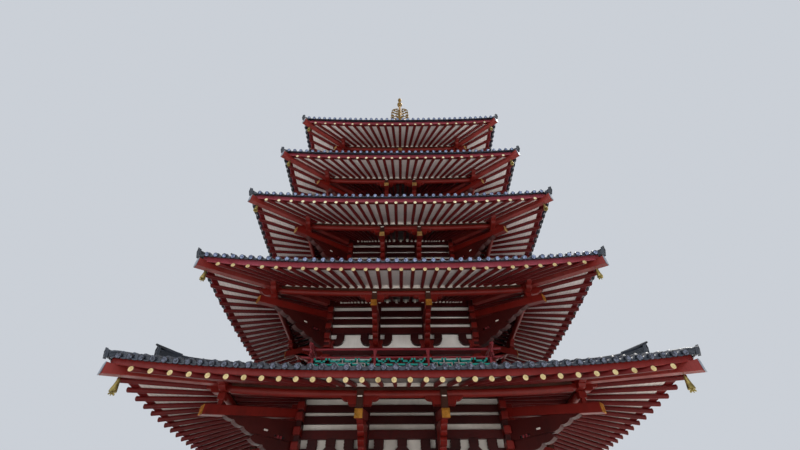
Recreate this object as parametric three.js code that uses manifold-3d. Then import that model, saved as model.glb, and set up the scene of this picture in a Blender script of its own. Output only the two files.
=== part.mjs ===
// Five-storey timber pagoda with tiled roofs and a metal finial.
// Millimetres, +Z up. The origin is on the ground under the centre, and the front looks along -Y.
import * as THREE from 'three';
import { mergeVertices } from 'three/addons/utils/BufferGeometryUtils.js';
import Module from 'manifold-3d';

const wasm = await Module();
wasm.setup();

// Driving dimensions: one entry for each storey, from the ground up
// half: distance from the axis to the column line, centreBay: width of the middle bay (0 for two bays)
// eave: distance from the axis to the rafter ends, eaveZ: height of the rafter ends in mid side
// lift: how far the last rafter end of a side lies above the middle one, and reach: where it lies,
// as a share of eave
const STOREYS = [
  { half: 3636, centreBay: 2650, eave: 8135, eaveZ: 5614, lift: 337, reach: 0.913 },
  { half: 3182, centreBay: 2180, eave: 7454, eaveZ: 9893, lift: 300, reach: 0.909 },
  { half: 2727, centreBay: 1860, eave: 6880, eaveZ: 14235, lift: 260, reach: 0.907 },
  { half: 2273, centreBay: 1630, eave: 6387, eaveZ: 18547, lift: 216, reach: 0.898 },
  { half: 1818, centreBay: 0, eave: 6060, eaveZ: 22785, lift: 244, reach: 0.902 },
];
const TOTAL_HEIGHT = 39200;
const GAP = 0.3;

// Podium and steps
const PODIUM_HALF = 6400;
const PODIUM_HEIGHT = 1200;
const STEP_COUNT = 6;
const STEP_GOING = 290;
const STEP_HALF_WIDTH = 1500;
const CHEEK_WIDTH = 320;

// Walls and timber frame
const WALL_OUT = 50;
const WALL_IN = 320;
const COLUMN_RADIUS = 210;
const BEAM_PROUD = 70;
const BLOCK_HALF = 150;
const HEAD_LOW = 1260;
const HEAD_HIGH = 940;
const DOOR_HALF = 950;
const DOOR_SILL = 220;
const DOOR_TOP = 2800;
const WINDOW_HALF = 640;
const WINDOW_SILL = 1000;
const LEAF_THICK = 90;

// Eaves
const RAFTER_SLOPE = 0.334;
const RAFTER_SIZE = 154;
const LIFT_POWER = 2.5;
const EAVE_STEPS = 4;
const BOARD_LOW = 60;
const BOARD_HIGH = 120;
const FASCIA_BACK = 130;
const FASCIA_FRONT = 30;
const FASCIA_TOP = 260;
const PURLIN_OUT = 2155;
const FIRST_PURLIN_OUT = 2234;
const PURLIN_RADIUS = 140;
const SEAT_HALF = 62;
const CORNER_SEAT_HALF = 56;
const STRAIGHT_DROP = 120;
const HIP_WIDTH = 220;
const HIP_TIP_DROP = 235;
const HIP_TIP_HIGH = 310;
const BELL_IN = 335;

// Tiled roofs, decks and railings
const TILE_EDGE = 100;
const TILE_LOW = 200;
const TILE_HIGH = 370;
const ROOF_SLOPE = 0.482;
const DECK_THICK = 120;
const RAIL_OUT = 440;
const RAIL_OVERRUN = 500;
const RAIL_TOP = 890;
const RAIL_HALF = 45;
const POST_HALF = 40;
const PANEL_LOW = 150;
const PANEL_HIGH = 600;
const PANEL_HALF = 25;
const ROOF_SEAT = 350;

// Finial
const APEX_Z = 26600;
const PILLAR_TOP = 37150;
const PILLAR_RADIUS = 150;
const SLEEVE_RADIUS = PILLAR_RADIUS + 0.4;
const FLAME_COLLAR_TOP = 36300;
const RING_COUNT = 9;
const RINGS_LOW = 29100;
const RINGS_HIGH = 34000;
const SLEEVE_TOP = 34150;

const SIDES = ['front', 'right', 'back', 'left'];

// Materials
function finish(colour, roughness, metalness) {
  return new THREE.MeshStandardMaterial({ color: colour, roughness, metalness });
}
const GRANITE = finish(0xb9b4aa, 0.9, 0);
const PLASTER = finish(0xe4e0da, 0.85, 0);
const VERMILION = finish(0x8c1d1a, 0.6, 0);
const DOOR_RED = finish(0x7a1a17, 0.6, 0);
const ROOF_TILE = finish(0x5b6a86, 0.55, 0.1);
const RAIL_RED = finish(0xa03a44, 0.6, 0);
const CYPRESS = finish(0x9a7448, 0.8, 0);
const GILT = finish(0xd8b55a, 0.35, 0.9);

// Closed meshes and solids
function solidOf(geometry) {
  const bare = geometry.clone();
  bare.deleteAttribute('normal');
  bare.deleteAttribute('uv');
  const merged = mergeVertices(bare, 0.001);
  return new wasm.Manifold(new wasm.Mesh({
    numProp: 3,
    vertProperties: new Float32Array(merged.attributes.position.array),
    triVerts: new Uint32Array(merged.index.array),
  }));
}

function geometryOf(solid) {
  const mesh = solid.getMesh();
  const geometry = new THREE.BufferGeometry();
  geometry.setAttribute('position', new THREE.BufferAttribute(new Float32Array(mesh.vertProperties), 3));
  geometry.setIndex(new THREE.BufferAttribute(new Uint32Array(mesh.triVerts), 1));
  geometry.computeVertexNormals();
  return geometry;
}

function joined(solids) {
  return solids.reduce((sum, solid) => sum.add(solid));
}

function quarterTurns(solid) {
  return joined([0, 90, 180, 270].map((angle) => solid.rotate([0, 0, angle])));
}

// A box given by its lowest and highest corners
function block(low, high) {
  const size = high.map((value, axis) => value - low[axis]);
  const box = new THREE.BoxGeometry(...size);
  box.translate(...high.map((value, axis) => (value + low[axis]) / 2));
  return solidOf(box);
}

function roundBar(radius, low, high, x, y, sides) {
  const bar = new THREE.CylinderGeometry(radius, radius, high - low, sides);
  bar.rotateX(Math.PI / 2);
  bar.rotateZ(Math.PI / sides);
  bar.translate(x, y, (low + high) / 2);
  return solidOf(bar);
}

// A profile of [distance from the axis, height] turned round the Z axis
function turned(profile, sides) {
  const points = profile.map(([radius, height]) => new THREE.Vector2(radius, height));
  const lathe = new THREE.LatheGeometry(points, sides);
  lathe.rotateX(Math.PI / 2);
  return solidOf(lathe);
}

// A flat outline of [outward, height] made a plate of a given thickness that stands in the XZ plane
function plate(outline, thickness) {
  const shape = new THREE.Shape(outline.map(([x, z]) => new THREE.Vector2(x, z)));
  const solid = new THREE.ExtrudeGeometry(shape, { depth: thickness, bevelEnabled: false });
  solid.rotateX(Math.PI / 2);
  solid.translate(0, thickness / 2, 0);
  return solidOf(solid);
}

// A closed profile of [distance from the axis, height, corner lift] carried round a square.
// Along a side, a point at share t of the way from the middle to the corner rises by lift times |t|^2.5.
function squareSweep(profile, steps) {
  const ringSize = 4 * steps;
  const positions = [];
  for (const [out, height, lift = 0] of profile) {
    for (let side = 0; side < 4; side += 1) {
      for (let j = 0; j < steps; j += 1) {
        const t = -1 + (2 * j) / steps;
        const along = t * out;
        const [x, y] = [[along, -out], [out, along], [-along, out], [-out, -along]][side];
        positions.push(x, y, height + lift * Math.abs(t) ** LIFT_POWER);
      }
    }
  }
  const index = [];
  for (let i = 0; i < profile.length; i += 1) {
    const next = (i + 1) % profile.length;
    for (let j = 0; j < ringSize; j += 1) {
      const beside = (j + 1) % ringSize;
      const a = i * ringSize + j;
      const b = i * ringSize + beside;
      const c = next * ringSize + beside;
      const d = next * ringSize + j;
      // Every quad is split from its inner corner-side point, so that surfaces laid on each other match
      const towardsMiddle = j % steps < steps / 2;
      const growing = profile[next][0] >= profile[i][0];
      index.push(...(towardsMiddle === growing ? [a, b, c, a, c, d] : [a, b, d, b, c, d]));
    }
  }
  const geometry = new THREE.BufferGeometry();
  geometry.setAttribute('position', new THREE.Float32BufferAttribute(positions, 3));
  geometry.setIndex(index);
  return solidOf(geometry);
}

// Heights and distances that the storeys share
function purlinHalf(storey) {
  return storey.half + (storey === STOREYS[0] ? FIRST_PURLIN_OUT : PURLIN_OUT);
}

function eaveInner(storey) {
  return storey.half + BLOCK_HALF + 60;
}

function rafterZ(storey, out) {
  return storey.eaveZ + RAFTER_SLOPE * (storey.eave - out);
}

function cornerLift(storey, out) {
  const full = storey.lift * (1 / storey.reach) ** LIFT_POWER;
  const share = (out - eaveInner(storey)) / (storey.eave - eaveInner(storey));
  return full * Math.max(0, share);
}

function purlinZ(storey) {
  return rafterZ(storey, purlinHalf(storey)) - RAFTER_SIZE / 2 - PURLIN_RADIUS - 4;
}

function railHalf(storey) {
  return storey.half + RAIL_OUT;
}

STOREYS.forEach((storey, level) => {
  const below = STOREYS[level - 1];
  storey.number = level + 1;
  storey.base = below
    ? Math.round(below.eaveZ + ROOF_SLOPE * (below.eave - railHalf(storey)) + 50)
    : PODIUM_HEIGHT;
});
STOREYS.forEach((storey, level) => {
  const above = STOREYS[level + 1];
  storey.top = above ? above.base - ROOF_SEAT : storey.eaveZ + 1840;
});

function bayLines(storey) {
  const inner = storey.centreBay / 2;
  return inner > 0 ? [-storey.half, -inner, inner, storey.half] : [-storey.half, 0, storey.half];
}

// Stone podium: a plinth course, a recessed face and a capping course round a solid core
function stonePodium() {
  const core = block([-PODIUM_HALF + 120, -PODIUM_HALF + 120, 100], [PODIUM_HALF - 120, PODIUM_HALF - 120, 1150]);
  const plinth = block([-PODIUM_HALF, -PODIUM_HALF, 0], [PODIUM_HALF, PODIUM_HALF, 220]);
  const cap = block([-PODIUM_HALF, -PODIUM_HALF, 980], [PODIUM_HALF, PODIUM_HALF, PODIUM_HEIGHT]);
  return joined([core, plinth, cap]);
}

// One flight of steps between two sloping cheek stones, against the front of the podium
function podiumSteps() {
  const rise = PODIUM_HEIGHT / STEP_COUNT;
  const start = PODIUM_HALF + GAP;
  const outline = [[start, 0]];
  for (let step = 1; step < STEP_COUNT; step += 1) {
    const out = start + (STEP_COUNT - step) * STEP_GOING;
    outline.push([out, (step - 1) * rise], [out, step * rise]);
  }
  outline.push([start, (STEP_COUNT - 1) * rise]);
  const flight = plate(outline, 2 * STEP_HALF_WIDTH);
  const foot = start + STEP_COUNT * STEP_GOING;
  const cheekOutline = [[start, 0], [foot, 0], [foot, 160], [start + 150, PODIUM_HEIGHT], [start, PODIUM_HEIGHT]];
  const cheek = plate(cheekOutline, CHEEK_WIDTH);
  const offset = STEP_HALF_WIDTH + CHEEK_WIDTH / 2 - 1;
  return joined([flight, cheek.translate([0, offset, 0]), cheek.translate([0, -offset, 0])]).rotate([0, 0, -90]);
}

// Round columns at the bay lines of one side, from its left corner on, then turned to all four sides
function columns(storey, grow) {
  const sides = storey.number === 1 ? 8 : 6;
  const low = storey.base + GAP - grow;
  const high = storey.eaveZ - HEAD_LOW + 1 + grow;
  const lines = bayLines(storey).slice(0, -1);
  return quarterTurns(joined(lines.map((x) => roundBar(COLUMN_RADIUS + grow, low, high, x, -storey.half, sides))));
}

// Posts of stacked blocks over the corner columns, outside the wall
function cornerPosts(storey) {
  const outer = -storey.half - BLOCK_HALF + 10;
  const inner = -storey.half + WALL_OUT - 2;
  return quarterTurns(block([outer, outer, storey.eaveZ - HEAD_HIGH - 1], [inner, inner, storey.top]));
}

// Horizontal beams round the outside of the wall: the head beam, a tie beam and the wall plate
function beams(storey) {
  const back = storey.half - WALL_OUT + GAP;
  const e = storey.eaveZ;
  const bands = [
    [BLOCK_HALF, e - HEAD_LOW, e - HEAD_HIGH],
    [BEAM_PROUD, e - 220, e + 70],
    [BEAM_PROUD, e + 1150, e + 1400],
  ];
  return joined(bands.map(([proud, low, high]) => {
    const front = storey.half + proud;
    return squareSweep([[back, low], [front, low], [front, high], [back, high]], 1);
  }));
}

function timberFrame(storey) {
  return joined([columns(storey, 0), cornerPosts(storey), beams(storey)]);
}

// Plaster walls: a square tube notched round the columns, with a doorway and windows in the first storey
function plasterWalls(storey) {
  const inner = storey.half - WALL_IN;
  const outer = storey.half - WALL_OUT;
  const tube = squareSweep([
    [inner, storey.base + GAP], [outer, storey.base + GAP], [outer, storey.top], [inner, storey.top],
  ], 1);
  let walls = tube.subtract(columns(storey, GAP));
  if (storey.number === 1) {
    walls = walls.subtract(quarterTurns(storeyOneOpenings(storey)));
  }
  return walls;
}

function windowCentre(storey) {
  return (storey.half + storey.centreBay / 2) / 2;
}

function storeyOneOpenings(storey) {
  const through = [-storey.half - 500, -storey.half + 900];
  const top = storey.base + DOOR_TOP;
  const door = block([-DOOR_HALF, through[0], storey.base + DOOR_SILL], [DOOR_HALF, through[1], top]);
  const centre = windowCentre(storey);
  const windows = [-centre, centre].map((x) => block(
    [x - WINDOW_HALF, through[0], storey.base + WINDOW_SILL],
    [x + WINDOW_HALF, through[1], top],
  ));
  return joined([door, ...windows]);
}

// A pair of closed plank door leaves with the strip between them, a sill and a lintel
function doorLeaves(storey) {
  const front = -storey.half + WALL_OUT + 60;
  const low = storey.base + DOOR_SILL + GAP;
  const high = storey.base + DOOR_TOP - GAP;
  const half = DOOR_HALF - GAP;
  const leaves = block([-half, front, low], [half, front + LEAF_THICK, high]);
  const strip = block([-50, front - 30, low + 1], [50, front + 3, high - 1]);
  const sill = block([-half - 100, front - 180, storey.base + GAP], [half + 100, front - 60 - GAP, low + 60]);
  const lintel = block([-half - 100, front - 180, high - 60], [half + 100, front - 60 - GAP, high + 200]);
  const stops = [[low + 3, low + 50], [high - 50, high - 3]].map(([from, to]) => block(
    [-half + 5, front - 61, from],
    [half - 5, front + 2, to],
  ));
  return joined([leaves, strip, sill, lintel, ...stops]);
}

// Side view of a bracket, outward from the column line and up from the rafter-end height:
// a sloping tail beam over two tiers of cloud-shaped arms, with the block that carries the purlin.
// The tail beams of straight brackets lie lower than those of the corners by the drop.
function bracketOutline(storey, root, stretch, drop) {
  const reach = purlinHalf(storey);
  const purlin = reach - storey.half;
  const e = storey.eaveZ;
  const seat = rafterZ(storey, reach) - RAFTER_SIZE / 2 - PURLIN_RADIUS - e;
  const points = [
    [root + GAP, GAP - HEAD_HIGH], [BLOCK_HALF + 60, GAP - HEAD_HIGH], [740, -650 - drop / 2],
    [1260, -550 - drop / 2], [1170, -370 - drop / 2], [1620, -150 - drop], [1920, -70 - drop],
    [purlin + 240, -190 - drop], [purlin + 260, 105 - drop], [purlin + 190, 105 - drop], [purlin + 190, 320],
    [purlin + SEAT_HALF, 330], [purlin + SEAT_HALF, seat], [purlin - SEAT_HALF, seat],
    [purlin - SEAT_HALF, 205 - drop], [root + GAP, 745 - drop],
  ];
  return points.map(([out, up]) => [(storey.half + out) * stretch, e + up]);
}

// Straight brackets on the inner columns, cloud-shaped ones on the corners, and the round purlin on them
function brackets(storey) {
  const straight = plate(bracketOutline(storey, BEAM_PROUD, 1, STRAIGHT_DROP), 210).rotate([0, 0, -90]);
  const corner = plate(bracketOutline(storey, BLOCK_HALF, Math.SQRT2, 0), 240).rotate([0, 0, -45]);
  const reach = purlinHalf(storey);
  const centre = purlinZ(storey);
  const lift = cornerLift(storey, reach);
  const round = [];
  for (let i = 0; i < 6; i += 1) {
    const angle = (i * Math.PI) / 3;
    round.push([reach + PURLIN_RADIUS * Math.cos(angle), centre + PURLIN_RADIUS * Math.sin(angle), lift]);
  }
  const cornerSeat = block(
    [reach - CORNER_SEAT_HALF, -reach - CORNER_SEAT_HALF, centre - 300],
    [reach + CORNER_SEAT_HALF, -reach + CORNER_SEAT_HALF, centre + lift],
  );
  const inner = bayLines(storey).slice(1, -1).map((x) => straight.translate([x, 0, 0]));
  return quarterTurns(joined([corner, cornerSeat, ...inner])).add(squareSweep(round, EAVE_STEPS));
}

// Four hip rafters under the corners, held by a square ring at the wall, each with a wind bell
function hipTip(storey) {
  return { out: storey.eave + 35, low: storey.eaveZ + cornerLift(storey, storey.eave) - HIP_TIP_DROP };
}

// Where a hip rafter rests on the corner of the purlin
function hipSeat(storey) {
  const reach = purlinHalf(storey);
  const top = purlinZ(storey) + cornerLift(storey, reach) + PURLIN_RADIUS * Math.cos(Math.PI / 6);
  return { out: reach + PURLIN_RADIUS / 2, low: top + GAP };
}

function hipOutline(storey) {
  const tip = hipTip(storey);
  const seat = hipSeat(storey);
  const inner = eaveInner(storey);
  const edge = storey.eave - FASCIA_FRONT;
  // The boards fall away on both sides of the hip, so the rafter touches them along its two upper edges
  const aside = HIP_WIDTH / 2 / Math.SQRT2;
  const middleShare = 0.5 ** LIFT_POWER;
  const fall = (cornerLift(storey, edge) * (1 - middleShare)) / (edge / 2);
  const boards = (out) => rafterZ(storey, out) + BOARD_LOW + cornerLift(storey, out);
  const under = (out) => boards(out + aside) - 2 * aside * fall - 2 * GAP;
  const points = [
    [inner, under(inner) - 140], [seat.out, seat.low], [tip.out, tip.low], [tip.out + 20, tip.low + HIP_TIP_HIGH],
    [edge + 2, tip.low + HIP_TIP_HIGH], [edge + 2, under(edge)], [inner, under(inner)],
  ];
  return points.map(([out, z]) => [out * Math.SQRT2, z]);
}

// A bell on a short rod under the hip rafter
function windBell(storey) {
  const tip = hipTip(storey);
  const seat = hipSeat(storey);
  const out = storey.eave - BELL_IN;
  const under = tip.low + ((seat.low - tip.low) * (tip.out - out)) / (tip.out - seat.out);
  const profile = [[0, -480], [50, -480], [96, -370], [62, -180], [14, -110], [14, 30], [0, 30]];
  return turned(profile, 6).translate([out * Math.SQRT2, 0, under]);
}

function cornerRafters(storey) {
  const inner = storey.half + BLOCK_HALF + GAP;
  const z = rafterZ(storey, eaveInner(storey)) + BOARD_LOW - GAP;
  const ring = squareSweep([[inner, z - 170], [inner + 150, z - 210], [inner + 150, z - 40], [inner, z]], 1);
  const hip = plate(hipOutline(storey), HIP_WIDTH).add(windBell(storey)).rotate([0, 0, -45]);
  return quarterTurns(hip).add(ring);
}

// Eaves: sloping boards with the fascia along their edge, rising towards the corners
function eaves(storey) {
  const inner = eaveInner(storey);
  const at = (out, z) => [out, z, cornerLift(storey, out)];
  const front = storey.eave - FASCIA_FRONT;
  const back = storey.eave - FASCIA_BACK;
  const e = storey.eaveZ;
  return squareSweep([
    at(inner, rafterZ(storey, inner) + BOARD_LOW),
    at(front, rafterZ(storey, front) + BOARD_LOW),
    at(front, e + FASCIA_TOP),
    at(back, e + FASCIA_TOP),
    at(back, rafterZ(storey, back) + BOARD_HIGH),
    at(inner, rafterZ(storey, inner) + BOARD_HIGH),
  ], EAVE_STEPS);
}

// The concave tiled surface, from the eave up to the deck or the finial
function tileZ(storey, out) {
  const roof = roofLimits(storey);
  const share = (roof.edge - out) / (roof.edge - roof.crown);
  const hollow = storey.number === STOREYS.length ? 0.62 : 0.85;
  return roof.low + (roof.high - roof.low) * (hollow * share + (1 - hollow) * share * share);
}

function roofLimits(storey) {
  const above = STOREYS[storey.number];
  return {
    edge: storey.eave + TILE_EDGE,
    crown: above ? railHalf(above) + 85 : 700,
    low: storey.eaveZ + TILE_HIGH,
    high: above ? above.base - 60 : APEX_Z,
    seat: above ? above.base - DECK_THICK - GAP : APEX_Z,
    inner: above ? above.half - WALL_IN - 10 : 300,
  };
}

function roofShell(storey) {
  const roof = roofLimits(storey);
  const at = (out, z) => [out, z, cornerLift(storey, out)];
  const wall = storey.half + 280;
  const e = storey.eaveZ;
  const top = [1, 0.66, 0.33, 0].map((share) => {
    const out = roof.crown + share * (roof.edge - roof.crown);
    return at(out, tileZ(storey, out));
  });
  const profile = [
    at(storey.eave - FASCIA_BACK, e + FASCIA_TOP + GAP),
    at(storey.eave - FASCIA_FRONT, e + FASCIA_TOP + GAP),
    at(roof.edge, e + TILE_LOW),
    ...top,
  ];
  if (storey.number < STOREYS.length) {
    profile.push([roof.crown, roof.seat], [roof.inner, roof.seat], [roof.inner, storey.top + GAP]);
  } else {
    profile.push([roof.inner, roof.high], [roof.inner, roof.high - 700]);
    profile.push([storey.half - WALL_IN, storey.top + GAP]);
  }
  profile.push([wall, storey.top + GAP]);
  return squareSweep(profile, EAVE_STEPS);
}

// Hip ridges in two steps: a tall ridge that ends short of the corner and a low one out to it
function hipRidge(storey, from, to, height, kick, width) {
  const z = (out) => tileZ(storey, out) + cornerLift(storey, out);
  const middle = (from + to) / 2;
  const outline = [
    [from, z(from) - 60], [middle, z(middle) - 60], [to, z(to) - 60], [to + 60, z(to) + height + kick],
    [to - 200, z(to - 200) + height + kick / 3], [middle, z(middle) + height], [from, z(from) + height],
  ];
  return plate(outline.map(([out, up]) => [out * Math.SQRT2, up]), width).rotate([0, 0, -45]);
}

function tiledRoof(storey) {
  const roof = roofLimits(storey);
  const crown = roof.crown + (storey.number < STOREYS.length ? 30 : 75);
  const tall = hipRidge(storey, crown, storey.eave - 735, 140, 200, 300);
  const low = hipRidge(storey, storey.eave - 900, storey.eave + 85, 60, 30, 240);
  return roofShell(storey).add(quarterTurns(tall.add(low)));
}

// Deck with its railing: a top rail that runs past the corners, posts, and a pattern panel between two rails
function railing(storey) {
  const out = railHalf(storey);
  const base = storey.base;
  const inner = storey.half - WALL_IN - 10;
  const end = out + RAIL_OVERRUN;
  const deck = squareSweep([
    [inner, base - DECK_THICK], [out + 80, base - DECK_THICK], [out + 80, base], [inner, base],
  ], 1);
  const panel = squareSweep([
    [out - PANEL_HALF, base + PANEL_LOW], [out + PANEL_HALF, base + PANEL_LOW],
    [out + PANEL_HALF, base + PANEL_HIGH], [out - PANEL_HALF, base + PANEL_HIGH],
  ], 1);
  // The rails of the two other sides lie a little higher where they cross
  const rail = (raise) => block(
    [-end, -out - RAIL_HALF, base + RAIL_TOP - RAIL_HALF + raise],
    [end, -out + RAIL_HALF, base + RAIL_TOP + RAIL_HALF + raise],
  );
  const frontAndBack = rail(0).add(rail(0).rotate([0, 0, 180]));
  const leftAndRight = rail(20).add(rail(20).rotate([0, 0, 180])).rotate([0, 0, 90]);
  const uprights = [...bayLines(storey).slice(1, -1), out].map((x) => block(
    [x - POST_HALF, -out - POST_HALF, base - 1],
    [x + POST_HALF, -out + POST_HALF, base + RAIL_TOP],
  ));
  return joined([quarterTurns(joined(uprights)), frontAndBack, leftAndRight, panel, deck]);
}

// Heart pillar: one tall post from the podium through every storey, thinner where it carries the finial
function heartPillar() {
  return turned([
    [0, PODIUM_HEIGHT + GAP], [400, PODIUM_HEIGHT + GAP], [330, 20000], [240, APEX_Z - 300],
    [PILLAR_RADIUS, APEX_Z + 900], [PILLAR_RADIUS, FLAME_COLLAR_TOP], [90, PILLAR_TOP], [0, PILLAR_TOP],
  ], 12);
}

// Square dew basin, inverted bowl and lotus flower, with a way through them for the pillar
function finialBase() {
  const basin = squareSweep([
    [320, APEX_Z + GAP], [750, APEX_Z + GAP], [750, APEX_Z + 120], [660, APEX_Z + 200], [660, APEX_Z + 560],
    [760, APEX_Z + 640], [760, APEX_Z + 780], [320, APEX_Z + 780],
  ], 1);
  const bowl = turned([
    [320, APEX_Z + 700], [640, APEX_Z + 779], [600, APEX_Z + 1080], [430, APEX_Z + 1310], [260, APEX_Z + 1400],
    [420, APEX_Z + 1500], [660, APEX_Z + 1800], [520, APEX_Z + 1830], [SLEEVE_RADIUS, APEX_Z + 1640],
    [SLEEVE_RADIUS, APEX_Z + 1200], [320, APEX_Z + 700],
  ], 12);
  return basin.add(bowl);
}

// Nine rings that grow smaller upwards, each on four spokes from one sleeve
function finialRings() {
  const low = APEX_Z + 1666;
  const sleeve = turned([
    [SLEEVE_RADIUS, low], [200, low], [185, SLEEVE_TOP], [SLEEVE_RADIUS, SLEEVE_TOP], [SLEEVE_RADIUS, low],
  ], 12);
  const solids = [sleeve];
  for (let i = 0; i < RING_COUNT; i += 1) {
    const share = i / (RING_COUNT - 1);
    const radius = 850 - 300 * share;
    const z = RINGS_LOW + share * (RINGS_HIGH - RINGS_LOW);
    solids.push(turned([
      [radius - 90, z - 60], [radius, z - 60], [radius, z + 60], [radius - 90, z + 60], [radius - 90, z - 60],
    ], 10));
    solids.push(quarterTurns(block([165, -25, z - 30], [radius - 40, 25, z + 30])));
  }
  return joined(solids);
}

// Water flame: four upright openwork blades round the top of the pillar
function waterFlame() {
  const outline = [
    [120, 34500], [520, 34440], [900, 34620], [760, 34900], [800, 35300], [640, 35650], [700, 36050], [740, 36450],
    [620, 36900], [430, 36600], [300, 36850], [120, 36500],
  ];
  const blade = plate(outline, 40);
  const collar = turned([
    [SLEEVE_RADIUS, SLEEVE_TOP + GAP], [200, SLEEVE_TOP + GAP], [200, FLAME_COLLAR_TOP],
    [SLEEVE_RADIUS, FLAME_COLLAR_TOP], [SLEEVE_RADIUS, SLEEVE_TOP + GAP],
  ], 12);
  return quarterTurns(blade.translate([40, 0, 0])).add(collar);
}

// Dragon jewel and sacred jewel on their stems, on top of the pillar
function finialJewels() {
  const top = TOTAL_HEIGHT;
  return turned([
    [0, PILLAR_TOP + GAP], [90, PILLAR_TOP + GAP], [150, 37290], [230, 37450], [255, 37700], [215, 37930], [110, 38090],
    [55, 38170], [55, 38380], [140, 38440], [185, 38640], [165, 38840], [90, 39010], [30, 39120], [0, top],
  ], 12);
}

// The assembly
const pagoda = new THREE.Group();

function place(name, solid, material) {
  const mesh = new THREE.Mesh(geometryOf(solid), material);
  mesh.name = name;
  pagoda.add(mesh);
}

place('stone_podium', stonePodium(), GRANITE);
SIDES.forEach((side, turn) => {
  place(`podium_steps_${side}`, podiumSteps().rotate([0, 0, 90 * turn]), GRANITE);
  place(`door_${side}`, doorLeaves(STOREYS[0]).rotate([0, 0, 90 * turn]), DOOR_RED);
});
for (const storey of STOREYS) {
  const k = storey.number;
  place(`storey_${k}_walls`, plasterWalls(storey), PLASTER);
  place(`storey_${k}_timber_frame`, timberFrame(storey), VERMILION);
  place(`storey_${k}_brackets`, brackets(storey), VERMILION);
  place(`corner_rafters_${k}`, cornerRafters(storey), VERMILION);
  place(`eaves_${k}`, eaves(storey), VERMILION);
  place(`roof_tiles_${k}`, tiledRoof(storey), ROOF_TILE);
  if (k > 1) {
    place(`storey_${k}_railing`, railing(storey), RAIL_RED);
  }
}
place('heart_pillar', heartPillar(), CYPRESS);
place('finial_base', finialBase(), GILT);
place('finial_rings', finialRings(), GILT);
place('water_flame', waterFlame(), GILT);
place('finial_jewels', finialJewels(), GILT);

export default pagoda;
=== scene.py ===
# %% [markdown]
# # Dressing a five-storey timber pagoda
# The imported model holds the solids: podium, walls, posts, eaves, roofs and finial, at their real size.
# This lesson puts the carpenter's work back on them: fanned rafters with gilt caps, tiled roofs, bracket arms,
# railings with a fret and a finial. Almost everything is a surface worked out from a formula with numpy,
# because a pagoda repeats a few shapes hundreds of times, and a formula keeps all copies true.

# %% Load the frame
import math
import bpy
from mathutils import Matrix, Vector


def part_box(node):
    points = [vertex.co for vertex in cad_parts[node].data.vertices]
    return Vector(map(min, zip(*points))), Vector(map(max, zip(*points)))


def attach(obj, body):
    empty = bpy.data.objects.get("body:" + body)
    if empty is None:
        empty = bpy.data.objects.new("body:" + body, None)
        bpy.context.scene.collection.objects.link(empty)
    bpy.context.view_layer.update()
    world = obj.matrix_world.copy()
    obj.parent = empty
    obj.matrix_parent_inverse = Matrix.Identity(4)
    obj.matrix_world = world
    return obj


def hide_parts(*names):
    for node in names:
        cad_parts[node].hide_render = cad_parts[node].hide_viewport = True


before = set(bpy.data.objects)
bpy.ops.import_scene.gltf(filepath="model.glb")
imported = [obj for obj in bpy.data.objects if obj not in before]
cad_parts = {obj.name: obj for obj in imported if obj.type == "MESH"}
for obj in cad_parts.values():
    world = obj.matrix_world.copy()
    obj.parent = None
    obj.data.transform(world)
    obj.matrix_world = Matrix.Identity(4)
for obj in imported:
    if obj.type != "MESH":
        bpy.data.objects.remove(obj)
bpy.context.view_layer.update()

from types import SimpleNamespace

import bpy
import numpy as np
from mathutils import Matrix
from mathutils.geometry import tessellate_polygon

# %% [markdown]
# ## The sizes
# A pagoda is one design drawn five times, each storey a little smaller. What the frame can tell (column lines,
# eaves, floors) is read from it. What it can't tell stands in a short list: the width of the middle bay, how far
# the corner of the eave sweeps up, and how the rafters spread like a fan towards it.

# %% Sizes of the storeys, in metres
# centre_bay: 0 where a wall has two bays, lift: rise of the last rafter of a side, reach: where it stands as a
# share of the eave, fan: how much wider the rafters stand near the corner, rafters: number on a side,
# straight: share of the side where they lie square to the wall, gather: how close they stand at the purlin beyond
# it, purlin_out, tail and corner_tail: purlin and ends of the sloping beams from the column line, rise: how much
# higher the fascia stands, hip: how much further the hip rafter runs, over: how far the tiles reach past the
# rafter tips, tile_rise: how much higher their edge lies, arm_out and arm_shift: places of the crossing arms under
# the purlins at a corner, across and along
BAYS = [
    dict(centre_bay=2.65, lift=0.337, reach=0.913, fan=0.115, rafters=32, straight=0.27, gather=0.64,
         purlin_out=2.234, tail=2.474, corner_tail=2.474, rise=0.010, hip=0.0,
         over=0.13, tile_rise=0.01, arm_out=-0.15, arm_shift=0.0),
    dict(centre_bay=2.18, lift=0.300, reach=0.909, fan=0.122, rafters=29, straight=0.17, gather=0.73,
         purlin_out=2.155, tail=2.395, corner_tail=2.475, rise=0.053, hip=0.03,
         over=0.21, tile_rise=-0.013, arm_out=-0.14, arm_shift=0.08),
    dict(centre_bay=1.86, lift=0.260, reach=0.907, fan=0.128, rafters=26, straight=0.07, gather=0.72,
         purlin_out=2.04, tail=2.25, corner_tail=2.42, rise=0.056, hip=0.04,
         over=0.23, tile_rise=-0.045, arm_out=-0.12, arm_shift=0.12),
    dict(centre_bay=1.63, lift=0.216, reach=0.898, fan=0.127, rafters=23, straight=0.027, gather=0.717,
         purlin_out=2.155, tail=2.395, corner_tail=2.495, rise=0.065, hip=0.10,
         over=0.24, tile_rise=-0.045, arm_out=-0.11, arm_shift=0.18),
    dict(centre_bay=0.0, lift=0.244, reach=0.902, fan=0.122, rafters=21, straight=0.0, gather=0.65,
         purlin_out=2.03, tail=2.485, corner_tail=2.535, rise=0.080, hip=0.09,
         over=0.24, tile_rise=-0.03, arm_out=0.04, arm_shift=0.26),
]
WALL_OUT = 0.05
FASCIA_FRONT = 0.03
FASCIA_BACK = 0.07
SOLID_BOARD_LOW = 0.06
BOARD_LOW = 0.073
BOARD_HIGH = 0.12
SLOPE = 0.334
LIFT_POWER = 2.5
RAFTER_RADIUS = 0.065
PURLIN_RADIUS = 0.125
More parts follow.
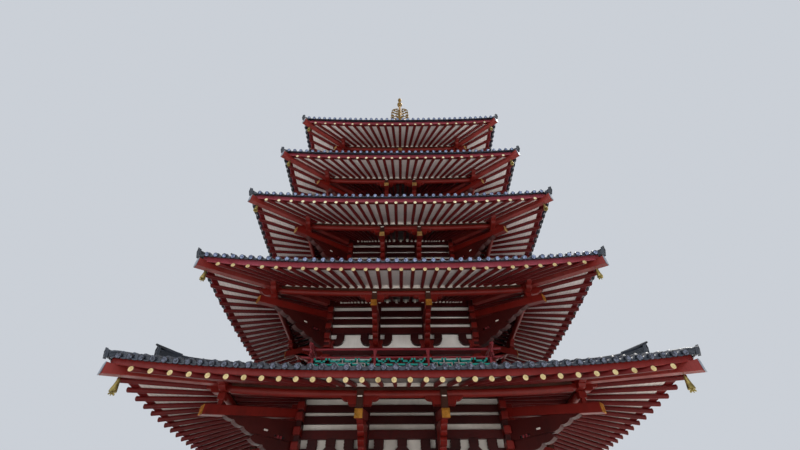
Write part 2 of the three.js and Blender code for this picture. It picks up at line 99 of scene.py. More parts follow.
EAVE_INNER = 0.21
HEAD_LOW = -1.26
HEAD_HIGH = -0.94
APEX = 26.60
RAIL_OUT = 0.44
RAFTER_GROWTH = 0.007
PURLIN_GAP = 0.08
UPPER_PURLIN_GAP = 0.105


def read_storey(level):
    """Column line, eave, floor and wall top of one storey, worked out from the boxes of its walls and eaves."""
    s = SimpleNamespace(number=level + 1, **BAYS[level])
    walls_low, walls_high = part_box(f"storey_{s.number}_walls")
    eaves_low, eaves_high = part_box(f"eaves_{s.number}")
    s.half = walls_high.x + WALL_OUT
    s.base = walls_low.z
    s.top = walls_high.z
    s.eave = eaves_high.x + FASCIA_FRONT
    s.eave_z = eaves_low.z - SOLID_BOARD_LOW - SLOPE * FASCIA_FRONT
    s.purlin = s.half + s.purlin_out
    s.lines = [-s.centre_bay / 2, s.centre_bay / 2] if s.centre_bay else [0.0]
    return s


def rafter_z(s, out):
    """Height of a rafter's axis in mid side: the eave height plus the slope times the distance from the edge."""
    return s.eave_z + SLOPE * (s.eave - out)


def corner_lift(s, out):
    """Rise of the corner over mid side: full at the edge and falling evenly to nothing at the wall."""
    full = s.lift * (1 / s.reach) ** LIFT_POWER
    inner = s.half + EAVE_INNER
    return full * np.maximum(0, (np.asarray(out) - inner) / (s.eave - inner))


storeys = [read_storey(level) for level in range(5)]
for s in storeys:
    s.above = storeys[s.number] if s.number < 5 else None
    s.rail = s.half + RAIL_OUT
    s.rafter = RAFTER_RADIUS + RAFTER_GROWTH * (s.number - 1)
    gap = PURLIN_GAP if s.number == 1 else UPPER_PURLIN_GAP
    s.purlin_z = float(rafter_z(s, s.purlin)) - RAFTER_RADIUS - PURLIN_RADIUS - gap
    s.corner_purlin_z = s.purlin_z + float(corner_lift(s, s.purlin))
    s.line_places = [[0, y, 0] for y in s.lines]
    print(s.number, "half", round(s.half, 3), "eave", round(s.eave, 3), "eave height", round(s.eave_z, 3))

# %% [markdown]
# ## A small kit for surfaces
# Blender can model with modifiers, curves or by hand. Here a shape is three numpy arrays: its points, its faces
# and, for every corner of every face, a place on the finish in metres, so that grain can follow the piece.
# A closed shape knows which way its faces look: the volume inside comes out negative when they look inwards.

# %% Shapes
UP = np.array([0.0, 0.0, 1.0])


class Shape:
    """Points (n, 3), faces (m, 4) where a triangle gives its last corner twice, and places (m, 4, 2)."""

    def __init__(self, points, faces, places):
        self.points = np.asarray(points, float)
        self.faces = np.asarray(faces)
        self.places = np.asarray(places, float)
        a, b, c, d = np.moveaxis(self.points[self.faces], 1, 0)
        volume = np.einsum("ij,ij->", a, np.cross(b, c) + np.cross(c, d))
        if volume < 0:
            self.faces = self.faces[:, ::-1]
            self.places = self.places[:, ::-1]


def joined(shapes):
    """One shape from many: the faces of each count on from the points before it."""
    starts = np.cumsum([0] + [len(shape.points) for shape in shapes[:-1]])
    faces = [shape.faces + start for shape, start in zip(shapes, starts)]
    points = [shape.points for shape in shapes]
    return Shape(np.concatenate(points), np.concatenate(faces), np.concatenate([s.places for s in shapes]))


def copies(shape, turns, shifts=(0, 0, 0)):
    """The shape once for every shift (k, 3): its points times the turn (3, 3) or turns (k, 3, 3), plus the
    shift."""
    shifts = np.asarray(shifts, float).reshape(-1, 3)
    turns = np.broadcast_to(turns, (len(shifts), 3, 3))
    points = np.einsum("kij,nj->kni", turns, shape.points) + shifts[:, None]
    faces = shape.faces[None] + (np.arange(len(shifts)) * len(shape.points))[:, None, None]
    places = np.broadcast_to(shape.places, (len(shifts), *shape.places.shape))
    return Shape(points.reshape(-1, 3), faces.reshape(-1, 4), places.reshape(-1, 4, 2))


print("a shape keeps points, faces and places")

# %% Turns, and the four sides of the building
def turn(degrees):
    """Turn about the vertical axis; quarter turns come out exact."""
    c, s = round(math.cos(math.radians(degrees)), 12), round(math.sin(math.radians(degrees)), 12)
    return np.array([[c, -s, 0], [s, c, 0], [0, 0, 1.0]])


QUARTERS = np.array([turn(90 * side) for side in range(4)])
DIAGONAL = math.sqrt(2)


def on_four_sides(shape):
    """A shape made on the +X side, where X is outwards and Y is along the side, repeated on all four."""
    return copies(shape, QUARTERS, np.zeros((4, 3)))


def at(shape, places):
    """The shape, unturned, once at each place (k, 3)."""
    return copies(shape, np.eye(3), places)


def on_corners(shape):
    """A shape made in the XZ plane, where X is the distance along the diagonal, on all four corners."""
    return on_four_sides(copies(shape, turn(45)))


print("quarter turns:", len(QUARTERS))

# %% Skins
def skin(rings, loop=False):
    """Quads between neighbouring rings (rows, n, 3) of points. Unless the rows close into a loop, each end is
    filled by triangles to its middle. A place is (distance round the ring, distance along the rows)."""
    rings = np.asarray(rings, float)
    rows, sides = rings.shape[:2]
    row, side = np.meshgrid(np.arange(rows if loop else rows - 1), np.arange(sides), indexing="ij")
    below, beside = (row + 1) % rows, (side + 1) % sides
    faces = np.stack([row * sides + side, row * sides + beside, below * sides + beside, below * sides + side], -1)
    step_round = np.linalg.norm(np.roll(rings[rows // 2], -1, 0) - rings[rows // 2], axis=1)
    step_along = np.linalg.norm(np.roll(rings[:, 0], -1, 0) - rings[:, 0], axis=1)
    around = np.concatenate([[0], np.cumsum(step_round)])
    along = np.concatenate([[0], np.cumsum(step_along)])
    corners = [(side, row), (side + 1, row), (side + 1, row + 1), (side, row + 1)]
    places = np.stack([np.stack([around[i], along[j]], -1) for i, j in corners], -2)
    points, faces, places = rings.reshape(-1, 3), faces.reshape(-1, 4), places.reshape(-1, 4, 2)
    if loop:
        return Shape(points, faces, places)
    middles = rings[[0, -1]].mean(1)
    first = np.arange(sides)
    ends, end_places = [], []
    for ring, middle in ((0, 0), (rows - 1, 1)):
        one, two = ring * sides + first, ring * sides + (first + 1) % sides
        centre = np.full(sides, rows * sides + middle)
        ends.append(np.stack([one, two, centre, centre][:: 1 if ring else -1], -1))
        flat = np.stack([around[:-1], around[1:], around[:-1], around[:-1]], -1)
        end_places.append(np.stack([flat, np.full_like(flat, along[ring])], -1))
    return Shape(
        np.concatenate([points, middles]), np.concatenate([faces, *ends]), np.concatenate([places, *end_places])
    )


print("a skin over two rings of four points has", len(skin(np.arange(24).reshape(2, 4, 3)).faces), "faces")

# %% From a shape to a piece of the scene
def piece(name, shape, finish, replaces=(), angle=35, bevel=0.0):
    """The shape as a Blender object that rides on the building. Corners given twice and faces that have shrunk
    to a line are left out; edges sharper than the angle stay crisp, all others shade smoothly."""
    keep = shape.faces != np.roll(shape.faces, 1, axis=1)
    whole = keep.sum(1) > 2
    keep, faces, places = keep[whole], shape.faces[whole], shape.places[whole]
    corners = faces[keep]
    count = keep.sum(1)
    used, corners = np.unique(corners, return_inverse=True)
    points = shape.points[used]
    mesh = bpy.data.meshes.new(name)
    mesh.vertices.add(len(points))
    mesh.vertices.foreach_set("co", points.ravel())
    mesh.loops.add(len(corners))
    mesh.loops.foreach_set("vertex_index", corners.ravel().astype(np.int32))
    mesh.polygons.add(len(count))
    mesh.polygons.foreach_set("loop_start", np.concatenate([[0], np.cumsum(count)[:-1]]).astype(np.int32))
    mesh.update(calc_edges=True)
    mesh.uv_layers.new(name="along").data.foreach_set("uv", places[keep].ravel())
    mesh.validate()
    mesh.shade_smooth()
    mesh.set_sharp_from_angle(angle=math.radians(angle))
    mesh.materials.append(finish)
    obj = bpy.data.objects.new(name, mesh)
    bpy.context.scene.collection.objects.link(obj)
    if bevel:
        edge = obj.modifiers.new("planed edges", "BEVEL")
        edge.width = bevel
        edge.segments = 1
        edge.limit_method = "ANGLE"
        edge.angle_limit = math.radians(40)
    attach(obj, "root")
    if replaces:
        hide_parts(*replaces)
    print(f"{name}: {len(points)} points, {int((count - 2).sum())} triangles")
    return obj


# %% [markdown]
# ### Shapes a carpenter and a mason use
# A sawn timber has its edges planed off, or it would look like paper. A plate is a board cut to an outline.
# A turned piece spins a profile, and a carried piece pushes a profile along a path. A square ring carries one
# round the building and lifts it towards the corners, as the eaves are.

# %% Timbers
def unit(vectors):
    """Each vector divided by its length."""
    return vectors / np.linalg.norm(vectors, axis=-1, keepdims=True)


def chamfered(w, h, edge):
    """Eight corners of a rectangle of half sizes w and h whose corners are cut off."""
    return np.array([
        [w, h - edge], [w - edge, h], [edge - w, h], [-w, h - edge],
        [-w, edge - h], [edge - w, -h], [w - edge, -h], [w, edge - h],
    ])


def timber(low, high, edge=0.012):
    """A timber between two corners of a box: a chamfered section carried along its longest side, smaller by the
    chamfer at both ends."""
    low, high = np.asarray(low, float), np.asarray(high, float)
    size = high - low
    order = np.argsort(size)
    across, up, ahead = order[0], order[1], order[2]
    edge = min(edge, size[across] / 3)
    rings = np.empty((4, 8, 3))
    stations = [(0, edge), (edge, 0), (size[ahead] - edge, 0), (size[ahead], edge)]
    for ring, (distance, inset) in enumerate(stations):
        section = chamfered(size[across] / 2 - inset, size[up] / 2 - inset, edge)
        rings[ring, :, across] = section[:, 0] + (low + high)[across] / 2
        rings[ring, :, up] = section[:, 1] + (low + high)[up] / 2
        rings[ring, :, ahead] = low[ahead] + distance
    return skin(rings)


def centred(middle, half, edge=0.012):
    """A timber given by its middle and half its size."""
    middle, half = np.asarray(middle, float), np.asarray(half, float)
    return timber(middle - half, middle + half, edge)


print("a timber has", len(timber([0, 0, 0], [1, 1, 3]).faces), "faces")

# %% Plates
def signed_area(loop):
    """Half the sum of x times the next z minus z times the next x: above 0 where the loop runs anticlockwise."""
    x, z = loop.T
    return (x * np.roll(z, -1) - np.roll(x, -1) * z).sum() / 2


def plate(outline, thick, holes=()):
    """A board that stands in the XZ plane: an outline of (out, up) points and holes in it, filled with triangles
    on both faces, with quads round every edge. The outline runs anticlockwise and holes run clockwise."""
    loops = [np.asarray(loop, float) for loop in (outline, *holes)]
    loops = [loop if (signed_area(loop) > 0) == (i == 0) else loop[::-1] for i, loop in enumerate(loops)]
    flat = np.concatenate(loops)
    fill = np.array(tessellate_polygon([np.pad(loop, ((0, 0), (0, 1))).tolist() for loop in loops]))
    a, b, c = flat[fill[:, 0]], flat[fill[:, 1]], flat[fill[:, 2]]
    clockwise = np.cross(b - a, c - a) < 0
    fill[clockwise] = fill[clockwise][:, ::-1]
    fill = fill[:, [0, 1, 2, 2]]
    count = len(flat)
    starts = np.cumsum([0] + [len(loop) for loop in loops[:-1]])
    one = np.arange(count)
    two = np.concatenate([start + (np.arange(len(loop)) + 1) % len(loop) for start, loop in zip(starts, loops)])
    rim = np.stack([one, one + count, two + count, two], -1)
    front = np.column_stack([flat[:, 0], np.full(count, -thick / 2), flat[:, 1]])
    back = front * [1, -1, 1]
    walked = np.cumsum(np.linalg.norm(flat[two] - flat, axis=1))
    rim_places = np.stack([
        np.stack([walked, walked, walked + 0.1, walked + 0.1], -1),
        np.broadcast_to([0, thick, thick, 0], (count, 4)),
    ], -1)
    faces = np.concatenate([fill, fill[:, ::-1] + count, rim])
    places = np.concatenate([flat[fill], flat[fill[:, ::-1]], rim_places])
    return Shape(np.concatenate([front, back]), faces, places)


print("a square plate has", len(plate([[0, 0], [1, 0], [1, 1], [0, 1]], 0.1).faces), "faces")

# %% Turned, carried and square pieces
def turned(profile, sides, loop=False):
    """A profile of (radius, height) spun round the Z axis."""
    profile = np.asarray(profile, float)
    angle = np.arange(sides) * 2 * np.pi / sides
    ring = np.column_stack([np.cos(angle), np.sin(angle)])
    rings = np.empty((len(profile), sides, 3))
    rings[..., :2] = profile[:, 0, None, None] * ring
    rings[..., 2] = profile[:, 1, None]
    return skin(rings, loop)


def slat(low, high):
    """A square-edged bar between two corners of a box, for bars too thin to show a chamfer."""
    (x0, y0, z0), (x1, y1, z1) = low, high
    ring = np.array([[x0, y0], [x1, y0], [x1, y1], [x0, y1]])
    return skin(np.stack([np.column_stack([ring, np.full(4, z)]) for z in (z0, z1)]))


def carried(profile, path, across=None):
    """A profile of (across, up) points pushed along a path. Across is level and square to the path unless given,
    and up is square to both."""
    path, profile = np.asarray(path, float), np.asarray(profile, float)
    ahead = unit(np.gradient(path, axis=0))
    across = unit(np.cross(UP, ahead)) if across is None else np.broadcast_to(across, ahead.shape)
    up = np.cross(ahead, across)
    return skin(path[:, None] + profile[:, :1] * across[:, None] + profile[:, 1:] * up[:, None])


def circle(radius, sides, start=90):
    """Points at even angles from the start: the radius times (cosine, sine)."""
    angle = math.radians(start) + np.arange(sides) * 2 * np.pi / sides
    return radius * np.column_stack([np.cos(angle), np.sin(angle)])


def square_ring(profile, steps=1):
    """A closed profile of (out, height, corner lift) carried round a square. At share t of the way from the
    middle of a side to its corner, a point rises by its lift times t to the power 2.5."""
    out, height, lift = np.asarray(profile, float).T
    t = np.linspace(-1, 1, steps + 1)[:-1, None]
    side = np.stack([np.broadcast_to(out, (steps, len(out))), t * out, height + lift * np.abs(t) ** LIFT_POWER], -1)
    return skin(np.einsum("kij,snj->ksni", QUARTERS, side).reshape(4 * steps, -1, 3), loop=True)


def band(s, inner, outer, low, high, steps=1, lifted=False, edge=0.012):
    """A square ring with a chamfered rectangular section."""
    section = chamfered((outer - inner) / 2, (high - low) / 2, edge) + [(outer + inner) / 2, (high + low) / 2]
    lift = corner_lift(s, section[:, 0]) if lifted else np.zeros(8)
    return square_ring(np.column_stack([section, lift]), steps)


def facing(ahead):
    """Turns that carry +Z to each direction (k, 3) and keep +X level: their columns are across, up and ahead."""
    ahead = unit(np.asarray(ahead, float))
    across = unit(np.cross(UP, ahead))
    return np.stack([across, np.cross(ahead, across), ahead], -1)


print("a circle of six points:", circle(1.0, 6).round(2).tolist())

# %% [markdown]
# ## Finishes
# One flat colour never looks real. Each finish here starts from two or three close colours and lets broad noise
# fade one into the other, then adds fine streaks or specks, roughness that changes with them, and a bump.
# Painted timber takes its streaks from the piece's own map, so they run with the wood. Solids that come with the
# frame have no map, and there the noise reads Object coordinates.

# %% Node helpers
class Finish:
    """A node material with a short way to add nodes: a socket as an input makes a link, a value sets it."""

    def __init__(self, name, **shader):
        self.material = bpy.data.materials.new(name)
        self.material.use_nodes = True
        self.tree = self.material.node_tree
        self.shader = self.tree.nodes["Principled BSDF"]
        for socket, value in shader.items():
            self.shader.inputs[socket.replace("_", " ")].default_value = value

    def add(self, kind, inputs=None, output=0, **settings):
        node = self.tree.nodes.new("ShaderNode" + kind)
        for key, value in settings.items():
            setattr(node, key, value)
        for socket, value in (inputs or {}).items():
            if isinstance(value, bpy.types.NodeSocket):
                self.tree.links.new(value, node.inputs[socket])
            else:
                node.inputs[socket].default_value = value
        return node.outputs[output]

    def coordinates(self, source, scale=(1, 1, 1)):
        """Object coordinates in metres, or the piece's own map, stretched by a scale."""
        if source == "map":
            vector = self.add("UVMap", uv_map="along")
        else:
            vector = self.add("TexCoord", output=3)
        return self.add("Mapping", {"Vector": vector, "Scale": scale})

    def noise(self, vector, scale, detail=4.0, rough=0.55):
        """Layered noise between 0 and 1 with about this many humps to a unit of the vector."""
        return self.add("TexNoise", {"Vector": vector, "Scale": scale, "Detail": detail, "Roughness": rough})

    def ramp(self, factor, low, high, first=0.0, last=1.0):
        """Spreads a factor between low and high over the range from first to last."""
        inputs = {"Value": factor, "From Min": low, "From Max": high, "To Min": first, "To Max": last}
        return self.add("MapRange", inputs)

    def blend(self, factor, one, two, kind="MIX"):
        """One colour times (1 - factor) plus the other times the factor, or another way to mix them."""
        node = self.tree.nodes.new("ShaderNodeMix")
        node.data_type = "RGBA"
        node.blend_type = kind
        for socket, value in ((0, factor), (6, one), (7, two)):
            if isinstance(value, bpy.types.NodeSocket):
                self.tree.links.new(value, node.inputs[socket])
            else:
                node.inputs[socket].default_value = value if socket == 0 else colour(value)
        return node.outputs[2]

    def math(self, operation, one, two=0.0):
        """One step of arithmetic on two values."""
        return self.add("Math", {0: one, 1: two}, operation=operation)

    def finish(self, base, roughness=None, bump=None, depth=0.002, strength=0.5):
        """Links colour, roughness and the height for the bump to the shader."""
        self.tree.links.new(base, self.shader.inputs["Base Color"])
        if roughness is not None:
            self.tree.links.new(roughness, self.shader.inputs["Roughness"])
        if bump is not None:
            normal = self.add("Bump", {"Height": bump, "Distance": depth, "Strength": strength})
            self.tree.links.new(normal, self.shader.inputs["Normal"])
        return self.material


def colour(code):
    """A web colour such as 8f3d45 as linear red, green and blue: above a small value, the sRGB curve is
    ((c + 0.055) / 1.055) to the power 2.4."""
    if not isinstance(code, str):
        return code
    values = [int(code[i:i + 2], 16) / 255 for i in (0, 2, 4)]
    return [c / 12.92 if c < 0.04 else ((c + 0.055) / 1.055) ** 2.4 for c in values] + [1.0]


print("8f3d45 in linear light:", [round(v, 3) for v in colour("8f3d45")])

# %% How timber, plaster and boards are painted
def painted(name, fresh, faded, dark, roughness=0.42, source="map", streaks=(60, 1.4, 1)):
    """Paint on planed timber: fades in broad clouds, darkens in dirty patches, and streaks along the wood."""
    f = Finish(name, Specular_IOR_Level=0.25)
    cloud = f.noise(f.coordinates("object"), 0.9, 5.0)
    dirt = f.noise(f.coordinates("object", (1, 1, 0.6)), 3.1, 6.0, 0.65)
    streak = f.noise(f.coordinates(source, streaks), 1.0, 3.0)
    base = f.blend(f.ramp(cloud, 0.35, 0.65), fresh, faded)
    base = f.blend(f.ramp(dirt, 0.52, 0.75, 0.0, 0.55), base, dark)
    base = f.blend(f.ramp(streak, 0.35, 0.7, 0.0, 0.3), base, dark)
    rough = f.ramp(streak, 0.3, 0.7, roughness - 0.08, roughness + 0.14)
    return f.finish(base, rough, streak, depth=0.003, strength=0.35)


def plastered(name, clean, stained):
    """Lime plaster: almost white, with clouds, rain streaks under the beams and a trowelled surface."""
    f = Finish(name)
    cloud = f.noise(f.coordinates("object"), 0.7, 5.0)
    rain = f.noise(f.coordinates("object", (9, 9, 0.5)), 1.0, 4.0)
    trowel = f.noise(f.coordinates("object"), 14.0, 5.0)
    base = f.blend(f.ramp(cloud, 0.4, 0.7), clean, stained)
    base = f.blend(f.ramp(rain, 0.55, 0.8, 0.0, 0.45), base, stained)
    return f.finish(base, f.ramp(trowel, 0.3, 0.7, 0.78, 0.95), trowel, depth=0.004, strength=0.3)


def planked(name, clean, stained, gap, width=0.16, length=2.4, shade=0.8):
    """Whitewashed boards laid side by side along the eave, each of its own tone, with dark gaps between. The middle
    of a side is painted darker than the corners, down to the shade factor, by the smaller of the two distances from
    the axis: painted shade."""
    f = Finish(name)
    place = f.coordinates("map")
    x, y = f.add("SeparateXYZ", {0: place}), f.add("SeparateXYZ", {0: place}, output=1)
    turned_place = f.add("CombineXYZ", {0: y, 1: x})
    bricks = {"Vector": turned_place, "Color1": colour(clean), "Color2": colour(stained), "Mortar": colour(gap),
              "Scale": 1.0, "Mortar Size": 0.003, "Brick Width": length, "Row Height": width}
    board = f.add("TexBrick", bricks)
    joint = f.add("TexBrick", bricks, output=1)
    cloud = f.noise(f.coordinates("object"), 0.8, 5.0)
    grain = f.noise(f.coordinates("map", (40, 2, 1)), 1.0, 3.0)
    base = f.blend(f.ramp(cloud, 0.4, 0.75, 0.0, 0.5), board, stained)
    base = f.blend(f.ramp(grain, 0.45, 0.8, 0.0, 0.12), base, gap)
    spot = f.coordinates("object")
    aside = [f.math("ABSOLUTE", f.add("SeparateXYZ", {0: spot}, output=axis)) for axis in (0, 1)]
    # painted shade: darker towards the middle of each side
    painted_shade = f.ramp(f.math("MINIMUM", *aside), 0.5, 6.0, shade, 1.0)
    base = f.blend(1.0, base, f.add("CombineColor", {0: painted_shade, 1: painted_shade, 2: painted_shade}), "MULTIPLY")
    height = f.math("SUBTRACT", grain, f.math("MULTIPLY", joint, 3.0))
    return f.finish(base, f.ramp(grain, 0.3, 0.7, 0.65, 0.85), height, depth=0.004, strength=0.4)


print("finishes so far:", len(bpy.data.materials))

# %% The finishes of timber, plaster and boards
VERMILION = painted("vermilion timber", "6a1009", "741a14", "350906")
FASCIA_RED = painted("sunlit vermilion board", "6a1310", "741f1c", "470f0d", streaks=(1.4, 40, 1))
RAFTER_RED = painted("dark red rafter", "5c1213", "67191a", "30090a")
BEAM_RED = painted("shaded beam red", "2e0607", "3a0b0b", "150303")
# Paler than the vermilion: painted sheen on the hip rafters.
HIP_RED = painted("hip red with painted sheen", "77201b", "85302c", "40100e")
CORNER_RED = painted("shaded bracket red", "3a0907", "460f0d", "1c0504")
# A paler, pinker copy of the fascia red for the upper storeys: painted reflection of the sky. Its lower roughness
# is real gloss.
SHEEN_FASCIA = painted("upper fascia red with painted sky sheen", "8f3b45", "9a4a5a", "602228", roughness=0.36, streaks=(1.4, 40, 1))
# A darker copy of the vermilion for the frame under the eaves: painted shade.
FRAME_RED = painted("vermilion frame, painted shade", "3e0b0b", "4a1111", "200606", source="object", streaks=(8, 8, 8))
RAIL_RED = painted("railing red", "8a2b33", "933a41", "551a1f")
DOOR_RED = painted("door red", "7c201c", "8c322c", "451210", source="object", streaks=(14, 14, 0.8))
DECK_BROWN = painted("weathered deck", "6b4a3a", "7c5d4b", "3c281f", roughness=0.75)
WINDOW_GREEN = painted("window bar green", "2e6f55", "437f67", "1b3f32")
FRET_GREEN = painted("fret green", "17978c", "30a89c", "0c5f59")
# Dark brown on the purlin stops and cushions: painted shade where purlin, stop and rafters meet.
STOP_BROWN = painted("dark brown for painted shade", "30140e", "47271c", "20100b", roughness=0.7)
# The same plaster twice: darker on the first storey and whiter above. This is painted shade and painted light.
PLASTER = plastered("lime plaster", "dcd7d1", "b3aca6")
LIT_UPPER_PLASTER = plastered("upper lime plaster, painted light", "f4f0ec", "d2ccc6")
RAFTER_STOP = plastered("whitewashed rafter stop", "fff9f2", "d8cfc6")
WHITE_BLOCK = plastered("whitewashed block", "e6dfd8", "b9aeaa")
# The same whitewash twice: darker boards with a deep middle on the first storey and brighter ones above. This is
# painted shade and painted light.
SHADED_EAVE_BOARDS = planked("whitewashed eave boards, painted shade", "e8e0dc", "d2cac5", "857c78", shade=0.32)
LIT_UPPER_BOARDS = planked("whitewashed upper eave boards, painted light", "fbf3f2", "efe7e6", "a29a98", shade=0.86)
# Dark grey boards inside the purlin: painted shade.
SHADED_BOARDS = planked("boards behind the purlin, painted shade", "6f6a68", "55504f", "3a3533")
print("timber finishes:", len(bpy.data.materials))

# %% [markdown]
# ### Clay, gilt and granite
# Smoked clay tiles are blue-grey with a silvery bloom, and no two have the same tone: a random value for each
# cell of the map tints every tile. Gilt is metal, so its colour sits in the reflection, and dust keeps it dull.
# Granite is a mix of specks at two sizes.

# %% How tiles, metal and stone are finished
RIB_SPACING = 0.336
COURSE = 0.33


def tiled(name, light, dark, bloom, cell=(RIB_SPACING / 2, COURSE)):
    """Smoked clay: one random tone a tile, cloudy bloom and fine pores."""
    f = Finish(name, Specular_IOR_Level=0.5)
    place = f.coordinates("map", (1 / cell[0], 1 / cell[1], 1))
    number = f.add("VectorMath", {0: place}, operation="FLOOR")
    tone = f.add("TexWhiteNoise", {"Vector": number}, noise_dimensions="2D")
    cloud = f.noise(f.coordinates("object"), 1.3, 5.0)
    pores = f.noise(f.coordinates("object"), 45.0, 4.0)
    base = f.blend(tone, dark, light)
    base = f.blend(f.ramp(cloud, 0.45, 0.7, 0.0, 0.6), base, bloom)
    base = f.blend(f.ramp(pores, 0.55, 0.8, 0.0, 0.4), base, dark)
    return f.finish(base, f.ramp(pores, 0.3, 0.7, 0.38, 0.6), pores, depth=0.003, strength=0.35)


def blotched(name, light, dark, middle):
    """The fired face of an eave tile: sharp patches of light and dark, and fine pores."""
    f = Finish(name, Specular_IOR_Level=0.4)
    place = f.coordinates("object")
    patches = f.noise(place, 17.0, 3.0)
    pores = f.noise(place, 70.0, 3.0)
    base = f.blend(f.ramp(patches, 0.40, 0.60), dark, light)
    base = f.blend(f.ramp(pores, 0.45, 0.7, 0.0, 0.6), base, middle)
    return f.finish(base, f.ramp(pores, 0.3, 0.7, 0.4, 0.62), pores, depth=0.003, strength=0.4)


def gilded(name, bright, dull, roughness=0.34):
    """Gold leaf on metal: dull in patches, with a beaten surface."""
    f = Finish(name, Metallic=1.0)
    patch = f.noise(f.coordinates("object"), 6.0, 5.0)
    beaten = f.noise(f.coordinates("object"), 26.0, 3.0)
    base = f.blend(f.ramp(patch, 0.4, 0.68), bright, dull)
    return f.finish(base, f.ramp(patch, 0.3, 0.7, roughness - 0.06, roughness + 0.16), beaten, 0.004, 0.25)


def enamelled(name, bright, dull):
    """Gold paint on a cast cap, which is matt and pale."""
    f = Finish(name, Metallic=0.35)
    patch = f.noise(f.coordinates("object"), 9.0, 5.0)
    base = f.blend(f.ramp(patch, 0.4, 0.7), bright, dull)
    return f.finish(base, f.ramp(patch, 0.3, 0.7, 0.4, 0.62), patch, 0.003, 0.3)


def hewn(name, pale, grey, dark):
    """Granite: pale and grey grains with black specks, and a hammered face."""
    f = Finish(name)
    place = f.coordinates("object")
    grains = f.noise(place, 38.0, 3.0)
    specks = f.add("TexVoronoi", {"Vector": place, "Scale": 90.0})
    cloud = f.noise(place, 0.8, 5.0)
    base = f.blend(f.ramp(grains, 0.35, 0.65), pale, grey)
    base = f.blend(f.ramp(specks, 0.12, 0.28, 0.6, 0.0), base, dark)
    base = f.blend(f.ramp(cloud, 0.5, 0.75, 0.0, 0.35), base, dark)
    return f.finish(base, f.ramp(grains, 0.3, 0.7, 0.72, 0.92), grains, depth=0.006, strength=0.5)


print("a tile is", RIB_SPACING / 2, "wide and", COURSE, "long")

# %% The finishes of tiles, metal and stone
ROOF_TILE = tiled("smoked clay tile", "2b313d", "171b24", "3c4556")
TILE_END = blotched("smoked clay tile end", "656c80", "161b26", "2c3343")
# The tile ends of the upper storeys in a lighter copy of the same clay: painted light.
LIT_TILE_END = blotched("clay tile end with painted light", "93a2c4", "303a52", "586890")
# The rim of a tile end darker than its face: painted shade.
SHADED_TILE_RIM = blotched("tile rim, painted shade", "2a303c", "10131b", "1c212c")
RIDGE_TILE = tiled("smoked ridge tile", "272d39", "161a23", "39424f", cell=(9.0, 0.45))
GILT = gilded("gilt metal", "bda26a", "8d7648", roughness=0.45)
# Paler copies of the gilt plates and caps for the upper storeys: painted light.
PLATE_GILT = gilded("gilt plate", "d69e4a", "95672a", roughness=0.45)
CAP_GILT = enamelled("gilt rafter cap", "c8b686", "a48e5c")
LIT_CAP = enamelled("gilt rafter cap, painted light", "f2ecc6", "c8bc90")
LIT_PLATE = gilded("gilt plate, painted light", "dcbc80", "ab8a56", roughness=0.5)
WORN_GILT = gilded("worn gilt", "8a6c34", "57472c", roughness=0.5)
BELL_GILT = gilded("gilt bell bronze", "a8975c", "655c38", roughness=0.5)
CAP_METAL = enamelled("weathered sheet metal", "7f8692", "7f858f")
GRANITE = hewn("hewn granite", "c9c5bc", "a9a59c", "77736c")
PAVING = hewn("granite paving", "bdb9b0", "9c988f", "6e6a63")
CYPRESS = painted("cypress timber", "a57e50", "b48e61", "6f5130", roughness=0.8, source="object",
                  streaks=(14, 14, 0.6))
print("finishes:", len(bpy.data.materials))

# %% [markdown]
# ## Camera, light and floor
# The photograph looks steeply up from eye height, square in front of the steps, with a wide lens. The camera
# repeats that. A broad soft sun stands high to the right and a little behind, so that the faces under the roofs
# lie in open shade. The pale floor sends light back up under the eaves, a weak wide light from the front softens
# the shade, and an even pale surround fills the rest.

# %% Camera
CAMERA_PLACE = (-0.045, -17.93, 1.6)
CAMERA_PITCH = 45.32
CAMERA_ROLL = -0.30
CAMERA_YAW = -0.04
LENS = 16.42

camera_data = bpy.data.cameras.new("camera")
camera_data.sensor_width = 36.0
camera_data.lens = LENS
camera_data.clip_end = 500.0
camera = bpy.data.objects.new("camera", camera_data)
bpy.context.scene.collection.objects.link(camera)
aim = [Matrix.Rotation(math.radians(angle), 4, axis)
       for angle, axis in ((CAMERA_YAW, "Z"), (90 + CAMERA_PITCH, "X"), (CAMERA_ROLL, "Z"))]
camera.matrix_world = Matrix.Translation(CAMERA_PLACE) @ aim[0] @ aim[1] @ aim[2]
bpy.context.scene.camera = camera
print("camera at", CAMERA_PLACE, "lens", LENS)

# %% Light and floor
def sun(name, strength, spread, turn_degrees, tint):
    """A distant light; its spread in degrees is how soft its shadows are."""
    data = bpy.data.lights.new(name, "SUN")
    data.energy = strength
    data.angle = math.radians(spread)
    data.color = tint
    light = bpy.data.objects.new(name, data)
    light.rotation_euler = [math.radians(v) for v in turn_degrees]
    bpy.context.scene.collection.objects.link(light)


sun("key", 5.0, 20, (-10, 26, 0), (1.0, 0.97, 0.92))
sun("fill", 0.9, 70, (58, 0, -35), (0.94, 0.97, 1.0))
world = bpy.data.worlds.new("pale surround")
world.use_nodes = True
world.node_tree.nodes["Background"].inputs["Color"].default_value = (0.70, 0.74, 0.80, 1)
world.node_tree.nodes["Background"].inputs["Strength"].default_value = 0.85
bpy.context.scene.world = world
bpy.context.scene.view_settings.view_transform = "Standard"

